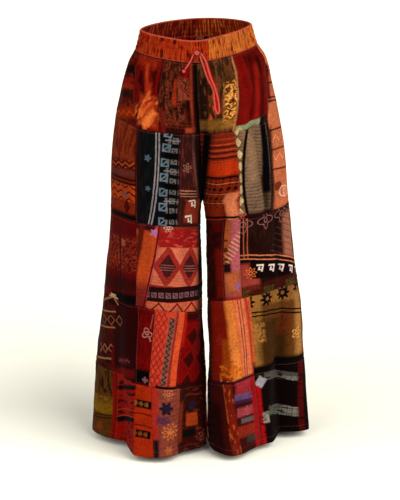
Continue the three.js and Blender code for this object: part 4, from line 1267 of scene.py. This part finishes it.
# Right leg, band 1 and the side strip: an olive and gold print and a plain crimson, gathered into the
# waistband, and one long orange strip that runs down the side over two bands. Topstitched seams.
RIGHT_BAND_1 = {
    "right_front_1a": (((102, 174), (EDGE, EDGE)), (79, 46, 25), [
        # Dark upright streaks: partly the print's own streaks, partly painted shade between the gathers.
        ("streaks", (35, 22, 13), (0, 80, 60, 100, 0),
         {"Pitch": 9, "Spacing": 44, "Cover": 0.48, "Strength": 0.85}),
        ("streaks", (156, 58, 27), (-13, 92, 8, 46, 0),
         {"Pitch": 6, "Spacing": 18, "Cover": 0.46, "Fade": 6}),
        # Painted shade of the fold at the centre front, drawn as dark streaks.
        ("streaks", (31, 17, 13), (-32, 105, 10, 70, 0),
         {"Pitch": 7, "Spacing": 20, "Cover": 0.6, "Fade": 8}),
        ("streaks", (210, 137, 63), (25, 106, 13, 50, 0),
         {"Pitch": 9, "Spacing": 16, "Cover": 0.62, "Fade": 6}),
        ("scrolls", (63, 36, 15), (25, 100, 14, 60, 0), {"Pitch": 9, "Width": 1.4, "Fade": 4}),
        ("stripes", (55, 17, 13), (4, 90, 24, 400, 90), {"Pitch": 26, "Width": 3, "Soft": 4}),
        ("block", (167, 20, 19), (-17, 26, 5, 36, -12), {"Fade": 4}),
        ("block", (177, 22, 23), (-4, 88, 4, 36, -8), {"Fade": 4}),
        ("block", (109, 70, 30), (0, 150, 44, 12, 0), {"Fade": 9, "Strength": 0.8}),
        ("block", (139, 84, 50), (39, 84, 2, 100, 0), {"Fade": 3}),
    ]),
    "right_front_1b": (((12, 80), (102, 174)), (92, 13, 8), [
        ("block", (46, 4, 4), (6, 20, 30, 16, 0), {"Fade": 18, "Strength": 0.6}),
        # Painted shade in two fold creases, and a painted highlight on the ridge between them.
        ("block", (21, 3, 3), (-7, 96, 4, 80, 1), {"Fade": 9, "Strength": 0.7}),
        ("block", (15, 3, 3), (24, 100, 7, 76, -1), {"Fade": 11, "Strength": 0.75}),
        ("block", (108, 20, 15), (7, 104, 4, 66, 0), {"Fade": 9}),
        ("block", (76, 17, 15), (40, 60, 5, 60, 0), {"Fade": 8}),
        ("block", (104, 107, 79), (0, 177, 60, 11, -2), {"Fade": 2}),
        ("diamonds", (145, 132, 82), (-38, 180, 11, 12, 0),
         {"Pitch": 20, "Spacing": 24, "Ring": 0, "Width": 0.9}),
        ("block", (19, 13, 14), (27, 176, 8, 12, 0), {"Fade": 3}),
        ("block", (51, 14, 10), (40, 176, 7, 12, 0), {"Fade": 3}),
    ]),
    "right_front_1c": (((-40, -50, -50), (12, 80, 110)), (157, 87, 55), [
        ("scrolls", (140, 70, 47), (0, 190, 120, 220, 8),
         {"Pitch": 12, "Width": 1.6, "Fade": 8, "Strength": 0.7}),
        ("block", (78, 17, 17), (-84, 84, 22, 46, 0), {"Fade": 18}),
        ("pair", (45, 9, 8), (-50, 62, 120, 10, 6), {"Pitch": 9, "Width": 3}),
        ("block", (58, 14, 10), (-50, 94, 120, 2, 7), {"Fade": 2}),
        ("pair", (46, 9, 5), (-50, 131, 120, 10, 9), {"Pitch": 8, "Width": 3.4}),
        ("block", (63, 24, 12), (-50, 200, 120, 2, 8), {"Fade": 2}),
        ("zigzag", (189, 122, 93), (-42, 222, 120, 13, 8), {"Pitch": 30, "Rise": 16, "Width": 2.6}),
        ("block", (77, 36, 11), (-50, 246, 120, 2, 8), {"Fade": 2}),
        ("zigzag", (189, 120, 91), (-30, 268, 120, 11, 9), {"Pitch": 28, "Rise": 14, "Width": 2.6}),
        ("block", (67, 28, 18), (-50, 294, 120, 2, 10), {"Fade": 2}),
        ("rosettes", (93, 39, 23), (-58, 334, 13, 20, 0),
         {"Petals": 2, "Ring": 16, "Pitch": 80, "Spacing": 80}),
        ("flowers", (192, 133, 110), (-34, 352, 24, 15, 16),
         {"Petals": 2, "Ring": 20, "Width": 4, "Pitch": 80, "Spacing": 80}),
        ("block", (21, 6, 4), (-84, 300, 11, 110, 0), {"Fade": 14}),
    ]),
}
sew_band(RIGHT_BAND_1)

# Right leg, band 2: a red cotton with fine lines and rows of small motifs at the crotch, and a
# grey-green ribbed print with a chain of diamonds and a black stripe. Plain seams, topstitched.
RIGHT_BAND_2 = {
    "right_front_2a": (((176, 200), (EDGE, EDGE)), (96, 29, 14), [
        ("stripes", (141, 54, 33), (0, 40, 90, 26, 0), {"Pitch": 13, "Width": 3}),
        ("stripes", (18, 3, 2), (0, 46, 90, 20, 0), {"Pitch": 13, "Width": 2.4}),
        ("block", (144, 40, 14), (5, 84, 60, 17, 0), {"Fade": 8}),
        ("block", (20, 3, 2), (0, 107, 90, 2.6, 0), {"Fade": 3}),
        ("rosettes", (18, 4, 3), (0, 152, 90, 42, 0),
         {"Petals": 4, "Ring": 6, "Pitch": 17, "Spacing": 15}),
        ("stripes", (152, 76, 45), (0, 152, 90, 42, 0), {"Pitch": 30, "Width": 2.2}),
        ("block", (192, 107, 72), (56, 190, 16, 40, -8), {"Fade": 10, "Strength": 0.8}),
        # Painted shade in the dark fold at the centre front, by the crotch.
        ("block", (9, 2, 2), (-46, 110, 14, 120, 12), {"Fade": 14}),
        ("block", (18, 3, 2), (0, 218, 90, 3, 0), {"Fade": 3}),
    ]),
    "right_front_2b": (((80, 110), (176, 200)), (102, 76, 57), [
        ("stripes", (73, 59, 50), (0, 100, 60, 120, 9), {"Pitch": 8, "Width": 3, "Soft": 2.4}),
        ("block", (124, 93, 69), (-14, 66, 14, 60, 0), {"Fade": 16, "Strength": 0.6}),
        ("diamonds", (167, 140, 101), (-43, 26, 10, 200, 0),
         {"Pitch": 20, "Spacing": 28, "Ring": 0, "Width": 0.86}),
        ("diamonds", (83, 59, 34), (-43, 26, 10, 200, 0),
         {"Pitch": 20, "Spacing": 28, "Ring": 0.98, "Width": 0.14}),
        ("block", (11, 5, 2), (-38, 112, 200, 3.6, 90), {"Fade": 3, "Bow": -16}),
        ("block", (6, 4, 6), (28, 70, 8, 90, 0), {"Fade": 5}),
        ("block", (11, 6, 6), (26, 160, 10, 40, 0), {"Fade": 12, "Strength": 0.8}),
        ("block", (27, 5, 4), (43, 100, 6, 130, 0), {"Fade": 4}),
        ("block", (33, 11, 11), (0, 208, 60, 9, 2), {"Fade": 8}),
        ("flowers", (138, 62, 55), (-40, 200, 14, 12, 0), {"Petals": 6, "Ring": 11, "Width": 3}),
    ]),
}
sew_band(RIGHT_BAND_2)

# Right leg, band 3: a very dark red, a narrow pink and orange hatched strip, and a dark brown with
# outlined quatrefoils above a curved border of white hooks. Plain seams, topstitched.
RIGHT_BAND_3 = {
    "right_front_3a": (((236, 249), (EDGE, EDGE)), (36, 8, 2), [
        ("streaks", (52, 11, 3), (20, 100, 60, 110, 0), {"Pitch": 18, "Spacing": 20, "Cover": 0.44}),
        ("block", (87, 18, 5), (44, 130, 12, 60, 0), {"Fade": 14}),
        ("block", (65, 8, 2), (36, 16, 16, 12, 0), {"Fade": 9}),
        ("block", (59, 4, 2), (0, 194, 80, 6, 0), {"Fade": 5}),
    ]),
    "right_front_3b": (((196, 206), (236, 249)), (128, 61, 49), [
        ("block", (133, 63, 30), (-14, 60, 8, 62, 0), {"Fade": 5}),
        ("block", (143, 70, 76), (11, 58, 11, 66, 0), {"Fade": 5}),
        ("stripes", (177, 122, 101), (11, 60, 14, 76, 35), {"Pitch": 9, "Width": 2.6}),
        ("rosettes", (67, 34, 17), (-14, 72, 6, 26, 0),
         {"Petals": 2, "Ring": 9, "Pitch": 30, "Spacing": 26}),
        ("block", (31, 12, 18), (-12, 117, 10, 13, 0), {"Fade": 6}),
        ("block", (149, 75, 41), (-5, 150, 20, 22, 0), {"Fade": 8, "Strength": 0.8}),
        ("flowers", (106, 69, 103), (13, 162, 10, 14, 0),
         {"Petals": 4, "Ring": 8, "Width": 3, "Spacing": 22}),
        ("block", (126, 33, 29), (0, 192, 30, 6, 0), {"Fade": 5}),
    ]),
    "right_front_3c": (((-50, -55), (196, 206)), (30, 12, 8), [
        ("streaks", (35, 19, 12), (-70, 60, 60, 90, 0), {"Pitch": 12, "Spacing": 50, "Cover": 0.44}),
        ("flowers", (109, 70, 68), (-62, 14, 200, 24, 0),
         {"Petals": 4, "Ring": 22, "Width": 2.6, "Pitch": 56, "Spacing": 90}),
        # A pink-brown area: partly the cloth's own colour, partly painted sheen.
        ("block", (125, 76, 60), (18, 84, 20, 66, 0), {"Fade": 14}),
        ("stripes", (78, 40, 31), (30, 70, 60, 90, 26), {"Pitch": 14, "Width": 2.4, "Strength": 0.7}),
        ("pair", (143, 71, 48), (-112, 48, 60, 12, 90), {"Pitch": 9, "Width": 2.4}),
        ("block", (119, 48, 41), (-106, 148, 22, 34, 0), {"Fade": 8}),
        ("block", (17, 3, 3), (-2, 150, 200, 26, 18), {"Fade": 3, "Bow": 10}),
        ("block", (119, 45, 38), (-122, 150, 16, 36, 0), {"Fade": 9}),
        ("flowers", (169, 82, 43), (-104, 140, 16, 16, 0), {"Petals": 8, "Ring": 14, "Width": 3}),
        ("hooks", (198, 176, 167), (-18, 147, 84, 13, 18),
         {"Pitch": 33, "Spacing": 80, "Ring": 9, "Bow": 10}),
        ("pair", (168, 93, 62), (-30, 117, 200, 9, 18), {"Pitch": 10, "Width": 3, "Bow": 10}),
        ("block", (54, 17, 9), (0, 186, 200, 16, 0), {"Fade": 6, "Strength": 0.8}),
        ("flowers", (55, 50, 21), (-60, 198, 200, 18, 0),
         {"Petals": 8, "Ring": 20, "Width": 7, "Pitch": 70, "Spacing": 90}),
    ]),
}
sew_band(RIGHT_BAND_3)

# Right leg, band 4: an orange-red cotton with a silky gold stripe, and an olive-gold print of dark
# flowers over a double line. Plain seams, topstitched.
RIGHT_BAND_4 = {
    "right_front_4a": (((196, 193), (EDGE, EDGE)), (99, 20, 8), [
        ("block", (12, 2, 1), (-64, 100, 32, 130, 4), {"Fade": 20}),
        ("stripes", (75, 48, 40), (-56, 100, 22, 90, -7), {"Pitch": 12, "Width": 2.2, "Strength": 0.6}),
        ("block", (124, 54, 11), (22, 140, 15, 46, 0), {"Fade": 12, "Strength": 0.8}),
        ("flowers", (122, 36, 27), (-2, 94, 16, 16, 0), {"Petals": 5, "Ring": 12, "Width": 2}),
        ("block", (176, 96, 44), (42, 100, 13, 130, -3), {"Fade": 11}),
        ("block", (176, 87, 56), (70, 100, 15, 130, -4), {"Fade": 6}),
        ("pair", (78, 41, 27), (66, 84, 120, 8, 87), {"Pitch": 7, "Width": 2.2}),
        ("block", (147, 50, 36), (90, 110, 7, 130, -5), {"Fade": 5}),
        ("block", (44, 15, 23), (36, 204, 80, 10, 0), {"Fade": 6}),
        ("streaks", (154, 74, 20), (26, 176, 30, 20, 0), {"Pitch": 12, "Spacing": 10, "Cover": 0.5}),
    ]),
    "right_front_4b": (((-60, -60), (196, 193)), (79, 46, 19), [
        ("block", (118, 79, 36), (-108, 100, 14, 130, 0), {"Fade": 9}),
        ("block", (122, 80, 39), (-20, 18, 110, 18, 8), {"Fade": 8, "Strength": 0.7}),
        ("rosettes", (15, 8, 4), (-76, 15, 200, 22, 0),
         {"Petals": 8, "Ring": 20, "Pitch": 52, "Spacing": 90}),
        ("rosettes", (120, 70, 31), (-76, 15, 200, 22, 0),
         {"Petals": 8, "Ring": 6, "Pitch": 52, "Spacing": 90}),
        ("block", (52, 31, 11), (-58, 130, 46, 60, 0), {"Fade": 22}),
        ("block", (79, 34, 14), (-18, 96, 20, 30, 0), {"Fade": 12, "Strength": 0.7}),
        ("block", (130, 87, 46), (24, 112, 13, 90, 0), {"Fade": 12}),
        ("scrolls", (140, 93, 46), (-104, 100, 16, 26, 0), {"Pitch": 10, "Width": 1.4, "Fade": 5}),
        ("flowers", (56, 25, 12), (-36, 120, 22, 22, 0),
         {"Petals": 5, "Ring": 17, "Width": 3, "Pitch": 80, "Spacing": 80}),
        ("flowers", (180, 125, 66), (16, 130, 18, 18, 0),
         {"Petals": 5, "Ring": 15, "Width": 3, "Pitch": 80, "Spacing": 80}),
        ("pair", (13, 5, 3), (-44, 58, 200, 12, 11), {"Pitch": 10, "Width": 4, "Bow": 6}),
        ("block", (11, 3, 3), (-50, 198, 120, 12, 2), {"Fade": 10}),
        ("block", (164, 70, 37), (-124, 80, 4, 90, 0), {"Fade": 3}),
    ]),
}
sew_band(RIGHT_BAND_4)

# Right leg, band 5: dark red stripes with a slanting purple strip, and a black cotton with two
# grey-green bands. They end in one hem, turned up once and stitched.
RIGHT_BAND_5 = {
    "right_front_5a": (((192, 190), (EDGE, EDGE)), (48, 12, 10), [
        ("stripes", (10, 5, 3), (-80, 100, 50, 120, -15), {"Pitch": 19, "Width": 9, "Soft": 7}),
        ("block", (31, 4, 4), (-32, 120, 22, 70, 0), {"Fade": 12}),
        ("block", (87, 23, 11), (18, 92, 11, 120, -3), {"Fade": 9}),
        ("streaks", (124, 53, 27), (18, 92, 12, 120, -3), {"Pitch": 7, "Spacing": 22, "Cover": 0.42}),
        ("block", (124, 35, 42), (66, 20, 30, 20, 4), {"Fade": 10}),
        ("block", (77, 55, 84), (60, 42, 30, 10, 8), {"Fade": 4}),
        ("block", (50, 23, 52), (60, 50, 30, 3, 8), {"Fade": 3}),
        ("block", (116, 45, 51), (62, 76, 28, 11, 4), {"Fade": 5}),
        ("flowers", (145, 62, 69), (64, 76, 13, 12, 0), {"Petals": 5, "Ring": 11, "Width": 2}),
        ("block", (75, 61, 60), (70, 99, 26, 6, 6), {"Fade": 4}),
        ("block", (106, 31, 20), (64, 124, 34, 14, 4), {"Fade": 6}),
        ("block", (54, 39, 37), (84, 148, 26, 9, 6), {"Fade": 6}),
        ("block", (116, 19, 21), (95, 84, 8, 110, -3), {"Fade": 7}),
    ]),
    "right_front_5b": (((-90, -100), (192, 190)), (15, 4, 4), [
        ("block", (125, 12, 14), (-139, 110, 10, 90, 0), {"Fade": 6}),
        ("block", (65, 60, 59), (-57, 27, 62, 11, 18), {"Fade": 3, "Bow": -8}),
        ("block", (58, 58, 52), (-57, 20, 62, 2, 18), {"Fade": 2, "Bow": -8}),
        ("block", (126, 120, 127), (-127, 22, 12, 13, 38), {"Fade": 4}),
        ("squares", (110, 102, 96), (-20, 44, 26, 9, 12),
         {"Pitch": 13, "Spacing": 16, "Ring": 4, "Width": 2}),
        ("block", (65, 60, 59), (-52, 121, 62, 7, 17), {"Fade": 3, "Bow": -8}),
        ("block", (64, 69, 56), (-52, 134, 62, 7, 17), {"Fade": 3, "Bow": -8}),
        ("block", (112, 102, 94), (-122, 124, 10, 15, 0), {"Fade": 4}),
        ("squares", (110, 102, 96), (-18, 138, 26, 13, 12),
         {"Pitch": 13, "Spacing": 14, "Ring": 4, "Width": 2}),
        ("block", (60, 10, 9), (12, 100, 8, 120, 0), {"Fade": 6}),
        ("streaks", (19, 7, 7), (-40, 90, 90, 110, 14), {"Pitch": 30, "Spacing": 6, "Cover": 0.4}),
    ]),
}
sew_band(RIGHT_BAND_5)

# Left leg, back: the same cottons pieced by chance, from the waistband down to the turned-up hem. The
# photograph doesn't show them, so their prints are guesses in the manner of the front.
LEFT_BACK = {
    "left_back_1a": (((-115, -160), (-40, -50)), (112, 62, 26), [
        ("streaks", (70, 34, 16), (0, 90, 90, 100, 0), {"Pitch": 9, "Spacing": 40, "Cover": 0.5}),
        ("rosettes", (176, 100, 50), (0, 90, 90, 120, 0),
         {"Petals": 5, "Ring": 8, "Pitch": 40, "Spacing": 46}),
    ]),
    "left_back_1b": (((-EDGE, -EDGE), (-115, -160)), (118, 18, 14), [
        ("zigzag", (184, 80, 40), (0, 90, 90, 80, 0),
         {"Pitch": 28, "Rise": 10, "Spacing": 44, "Width": 3}),
        ("stripes", (52, 8, 6), (0, 68, 90, 100, 0), {"Pitch": 44, "Width": 5}),
    ]),
    "left_back_2a": (((-165, -215), (-70, -80)), (30, 26, 24), [
        ("squares", (150, 146, 138), (0, 100, 90, 90, 0),
         {"Pitch": 34, "Spacing": 34, "Ring": 9, "Width": 3}),
        ("pair", (170, 60, 40), (0, 206, 90, 12, 0), {"Pitch": 10, "Width": 3}),
    ]),
    "left_back_2b": (((-EDGE, -EDGE), (-165, -215)), (150, 70, 32), [
        ("diamonds", (92, 24, 14), (0, 100, 120, 120, 0),
         {"Pitch": 44, "Spacing": 50, "Ring": 0.9, "Width": 0.1}),
        ("rosettes", (210, 140, 70), (0, 100, 120, 120, 0),
         {"Petals": 6, "Ring": 8, "Pitch": 44, "Spacing": 50}),
    ]),
    "left_back_3a": (((-170, -185), (-60, -60)), (140, 34, 24), [
        ("scrolls", (206, 110, 74), (0, 100, 90, 110, 0), {"Pitch": 12, "Width": 1.4}),
    ]),
    "left_back_3b": (((-275, -310), (-170, -185)), (84, 62, 34), [
        ("flowers", (170, 140, 84), (0, 90, 90, 120, 0),
         {"Petals": 5, "Ring": 13, "Width": 3, "Pitch": 44, "Spacing": 48}),
    ]),
    "left_back_3c": (((-EDGE, -EDGE), (-275, -310)), (58, 16, 14), [
        ("stripes", (120, 42, 30), (0, 100, 120, 120, 0), {"Pitch": 26, "Width": 5}),
        ("squares", (176, 120, 100), (0, 97, 120, 10, 0),
         {"Pitch": 20, "Spacing": 26, "Ring": 5, "Width": 2}),
    ]),
    "left_back_4a": (((-240, -265), (-60, -70)), (190, 78, 44), [
        ("diamonds", (130, 30, 24), (0, 95, 120, 110, 0),
         {"Pitch": 30, "Spacing": 40, "Ring": 0.95, "Width": 0.14}),
        ("block", (60, 22, 18), (0, 150, 140, 14, 0), {"Fade": 3}),
        ("flowers", (206, 150, 116), (0, 150, 140, 11, 0),
         {"Petals": 6, "Ring": 8, "Width": 2, "Pitch": 24, "Spacing": 40}),
    ]),
    "left_back_4b": (((-EDGE, -EDGE), (-240, -265)), (70, 24, 28), [
        ("streaks", (120, 50, 48), (0, 90, 140, 110, 0), {"Pitch": 12, "Spacing": 40, "Cover": 0.46}),
        ("pair", (190, 130, 90), (0, 120, 140, 12, 0), {"Pitch": 12, "Width": 3}),
    ]),
    "left_back_5a": (((-290, -310), (-80, -90)), (30, 14, 14), [
        ("block", (98, 106, 92), (0, 46, 160, 11, 0), {"Fade": 3}),
        ("squares", (166, 158, 150), (0, 46, 160, 9, 0),
         {"Pitch": 16, "Spacing": 18, "Ring": 5, "Width": 2}),
        ("block", (98, 106, 92), (0, 128, 160, 11, 0), {"Fade": 3}),
    ]),
    "left_back_5b": (((-EDGE, -EDGE), (-290, -310)), (158, 30, 20), [
        ("zigzag", (86, 16, 12), (0, 90, 160, 110, 0),
         {"Pitch": 34, "Rise": 14, "Spacing": 40, "Width": 5}),
    ]),
}
sew_band(LEFT_BACK)

# Right leg, back: pieced like the left one, in the same cottons and with the same turned-up hem.
# These prints are guesses too.
RIGHT_BACK = {
    "right_back_1a": (((-120, -165), (-40, -50)), (168, 84, 42), [
        ("stripes", (110, 36, 22), (0, 90, 90, 110, 90), {"Pitch": 17, "Width": 4}),
        ("streaks", (206, 126, 70), (0, 90, 90, 110, 0), {"Pitch": 8, "Spacing": 40, "Cover": 0.42}),
    ]),
    "right_back_1b": (((-EDGE, -EDGE), (-120, -165)), (72, 26, 22), [
        ("flowers", (170, 96, 76), (0, 90, 90, 110, 0),
         {"Petals": 5, "Ring": 12, "Width": 2.4, "Pitch": 40, "Spacing": 44}),
    ]),
    "right_back_2a": (((-150, -190), (-50, -50)), (124, 22, 16), [
        ("scrolls", (190, 84, 54), (0, 100, 90, 120, 0), {"Pitch": 12, "Width": 1.3}),
    ]),
    "right_back_2b": (((-EDGE, -EDGE), (-150, -190)), (96, 70, 34), [
        ("stripes", (52, 30, 16), (0, 100, 120, 120, 0), {"Pitch": 30, "Width": 4}),
        ("rosettes", (174, 140, 76), (0, 115, 120, 120, 0),
         {"Petals": 8, "Ring": 9, "Pitch": 34, "Spacing": 30}),
    ]),
    "right_back_3a": (((-230, -255), (-50, -55)), (46, 18, 14), [
        ("diamonds", (150, 92, 74), (0, 80, 120, 60, 0), {"Pitch": 40, "Ring": 0.85, "Width": 0.12}),
        ("pair", (196, 110, 76), (0, 160, 140, 12, 0), {"Pitch": 12, "Width": 3}),
    ]),
    "right_back_3b": (((-EDGE, -EDGE), (-230, -255)), (176, 60, 36), [
        ("zigzag", (226, 150, 96), (0, 100, 140, 110, 0), {"Pitch": 40, "Rise": 18, "Width": 4}),
    ]),
    "right_back_4a": (((-190, -205), (-60, -60)), (86, 60, 28), [
        ("rosettes", (44, 28, 16), (0, 95, 120, 110, 0),
         {"Petals": 6, "Ring": 11, "Pitch": 38, "Spacing": 44}),
    ]),
    "right_back_4b": (((-330, -360), (-190, -205)), (150, 28, 22), [
        ("streaks", (100, 14, 10), (0, 95, 120, 110, 0), {"Pitch": 10, "Spacing": 50, "Cover": 0.46}),
        ("pair", (220, 130, 80), (0, 120, 140, 14, 0), {"Pitch": 14, "Width": 4}),
    ]),
    "right_back_4c": (((-EDGE, -EDGE), (-330, -360)), (54, 14, 14), [
        ("squares", (130, 70, 66), (0, 95, 120, 110, 0),
         {"Pitch": 30, "Spacing": 30, "Ring": 8, "Width": 2.4}),
    ]),
    "right_back_5a": (((-300, -320), (-90, -100)), (132, 48, 26), [
        ("stripes", (66, 18, 14), (0, 90, 160, 110, 0), {"Pitch": 36, "Width": 8}),
        ("flowers", (210, 120, 74), (0, 108, 160, 110, 0),
         {"Petals": 5, "Ring": 9, "Width": 2.4, "Pitch": 30, "Spacing": 36}),
    ]),
    "right_back_5b": (((-EDGE, -EDGE), (-300, -320)), (44, 22, 26), [
        ("block", (126, 60, 60), (0, 60, 160, 12, 0), {"Fade": 3}),
        ("diamonds", (186, 130, 110), (0, 60, 160, 11, 0),
         {"Pitch": 22, "Spacing": 24, "Ring": 0.8, "Width": 0.14}),
    ]),
}
sew_band(RIGHT_BACK)

# Waistband: an elastic in a cotton casing, shirred by three rows of elastic thread so that it stands
# in fine upright ribs. It is pieced in four lengths, given in quarters of the waist from the centre
# front over the right side, with a pinkish piping along both edges. Measures are in millimetres.
WAISTBAND = {
    "waistband_front_left": (3.0, 4.16),
    "waistband_front_right": (0.16, 1.0),
    "waistband_back_right": (1.0, 2.0),
    "waistband_back_left": (2.0, 3.0),
}
QUARTER = 195
FULLNESS = 1.35
BAND_THICK = 2.6
RIB_PITCH = 7.4
RIB_HEIGHT = 2.8
ELASTIC_ROWS = (13.0, 0.5, -12.0)
# The mesh's columns in a quarter of the waist, and its rows
BAND_COLUMNS = 190
BAND_ROWS = 30


def round_waist(quarters, level):
    """The smooth waist in quarters round from the centre front over the right side."""
    turned = np.mod(quarters, 4)
    right = turned <= 2
    share = np.where(right, 1 - turned, turned - 3)
    places, facing = on_cloth("left", share, level)
    right_places, right_facing = on_cloth("right", share, level)
    places = np.where(right[..., None], right_places, places)
    facing = np.where(right[..., None], right_facing, facing)
    return places, facing


def shirring(run, level):
    """Uneven upright ribs, pinched in at the rows of elastic thread."""
    phase = run / RIB_PITCH + 0.35 * np.sin(run / 31) + 0.22 * np.sin(run / 12.7 + 1)
    phase = phase + 0.10 * np.sin(level / 9 + run / 23)
    rib = np.abs(np.sin(phase * math.pi)) ** 0.8
    size = 0.75 + 0.25 * np.sin(run / 17 + 2) * np.sin(run / 43)
    pinch = 1.0
    for row in ELASTIC_ROWS:
        pinch = pinch - 0.65 * np.exp(-(((level - row) / 1.8) ** 2))
    ends = smooth((24.5 - level) / 5) * smooth((level + 24.5) / 5)
    return RIB_HEIGHT * rib * size * pinch * (0.35 + 0.65 * ends) - 0.5 * (1 - pinch)


def waistband_piece(name):
    start, end = WAISTBAND[name]
    columns = int((end - start) * BAND_COLUMNS)
    quarters = np.linspace(start, end, columns + 1)[None, :]
    level = np.linspace(24.0, -23.9, BAND_ROWS)[:, None]
    quarters = quarters + 0 * level
    level = level + 0 * quarters
    places, facing = round_waist(quarters, level)
    run = quarters * QUARTER
    raised = shirring(run, level)
    crown = 0.8 * (smooth((24.2 - level) / 2.2) - 1)
    skin = places + facing * (raised + crown * 1.2)[..., None]
    lining = places - facing * (BAND_THICK - 0.5 * raised + crown * 1.2)[..., None]
    return cloth_piece(name, skin, lining, np.stack([run * FULLNESS, level - 24], axis=2))


BAND_PRINTS = {
    "waistband_front_left": ((132, 34, 14), [
        ("streaks", (80, 5, 4), (0, 24, 2900, 30, 0), {"Pitch": 22, "Spacing": 30, "Cover": 0.44}),
        ("streaks", (138, 51, 18), (0, 24, 2900, 30, 0), {"Pitch": 5, "Cover": 0.46}),
        ("streaks", (47, 5, 1), (0, 24, 2900, 30, 0), {"Pitch": 4, "Spacing": 50, "Cover": 0.38}),
    ]),
    "waistband_front_right": ((162, 80, 32), [
        ("streaks", (105, 31, 7), (0, 24, 2900, 30, 0), {"Pitch": 7, "Spacing": 40, "Cover": 0.44}),
        ("streaks", (159, 91, 40), (0, 24, 2900, 30, 0), {"Pitch": 5, "Cover": 0.46}),
        ("streaks", (77, 22, 5), (0, 24, 2900, 30, 0), {"Pitch": 4, "Spacing": 50, "Cover": 0.38}),
    ]),
    "waistband_back_right": ((118, 32, 14), [
        ("streaks", (170, 84, 36), (0, 24, 2900, 30, 0), {"Pitch": 6, "Spacing": 50, "Cover": 0.46}),
        ("streaks", (60, 12, 6), (0, 24, 2900, 30, 0), {"Pitch": 4, "Spacing": 50, "Cover": 0.38}),
    ]),
    "waistband_back_left": ((86, 18, 12), [
        ("streaks", (140, 54, 28), (0, 24, 2900, 30, 0), {"Pitch": 6, "Spacing": 50, "Cover": 0.46}),
        ("streaks", (46, 8, 5), (0, 24, 2900, 30, 0), {"Pitch": 4, "Spacing": 50, "Cover": 0.38}),
    ]),
}
PIPING = [
    ("block", (150, 62, 48), (0, 1.2, 2900, 1.8, 0), {"Fade": 1.2}),
    ("block", (128, 50, 38), (0, 46.5, 2900, 1.2, 0), {"Fade": 1.2}),
]
for name, (ground, layers) in BAND_PRINTS.items():
    piece = waistband_piece(name)
    piece.data.materials.append(printed_cotton("cotton_" + name, ground, layers + PIPING))
    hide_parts(name)
    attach(piece, "root")

# Floor and light: pale paper under the hems, one large soft light from the upper right and front, a
# weaker one from the left, and an even pale room.
FLOOR_LEVEL = -1.012
floor_mesh = bpy.data.meshes.new("floor")
corners = [(x, y, FLOOR_LEVEL) for x, y in ((-60, -60), (60, -60), (60, 60), (-60, 60))]
floor_mesh.from_pydata(corners, [], [(0, 1, 2, 3)])
floor = bpy.data.objects.new("floor", floor_mesh)
scene.collection.objects.link(floor)
floor_finish = bpy.data.materials.new("floor_paper")
floor_finish.use_nodes = True
floor_shader = floor_finish.node_tree.nodes["Principled BSDF"]
floor_shader.inputs["Base Color"].default_value = (0.87, 0.855, 0.75, 1)
floor_shader.inputs["Roughness"].default_value = 0.9
floor_shader.inputs["Specular IOR Level"].default_value = 0.05
floor_mesh.materials.append(floor_finish)


def soft_light(name, place, power, spread, colour):
    """A wide soft sun that shines from the side of a place towards the middle of the trousers."""
    data = bpy.data.lights.new(name, "SUN")
    data.energy = power
    data.angle = math.radians(spread)
    data.color = colour
    lamp = bpy.data.objects.new(name, data)
    scene.collection.objects.link(lamp)
    way = Vector((0, 0, -0.5)) - Vector(place)
    lamp.matrix_world = Matrix.Translation(place) @ way.to_track_quat("-Z", "Y").to_matrix().to_4x4()


soft_light("key", (2.8, -2.5, 2.6), 3.9, 50, (1, 0.98, 0.94))
soft_light("fill", (-3.2, -2.3, 2.6), 1.7, 60, (1, 0.98, 0.96))
world = bpy.data.worlds.new("room")
scene.world = world
world.use_nodes = True
world.node_tree.nodes["Background"].inputs["Color"].default_value = (1, 1, 0.96, 1)
world.node_tree.nodes["Background"].inputs["Strength"].default_value = 0.36
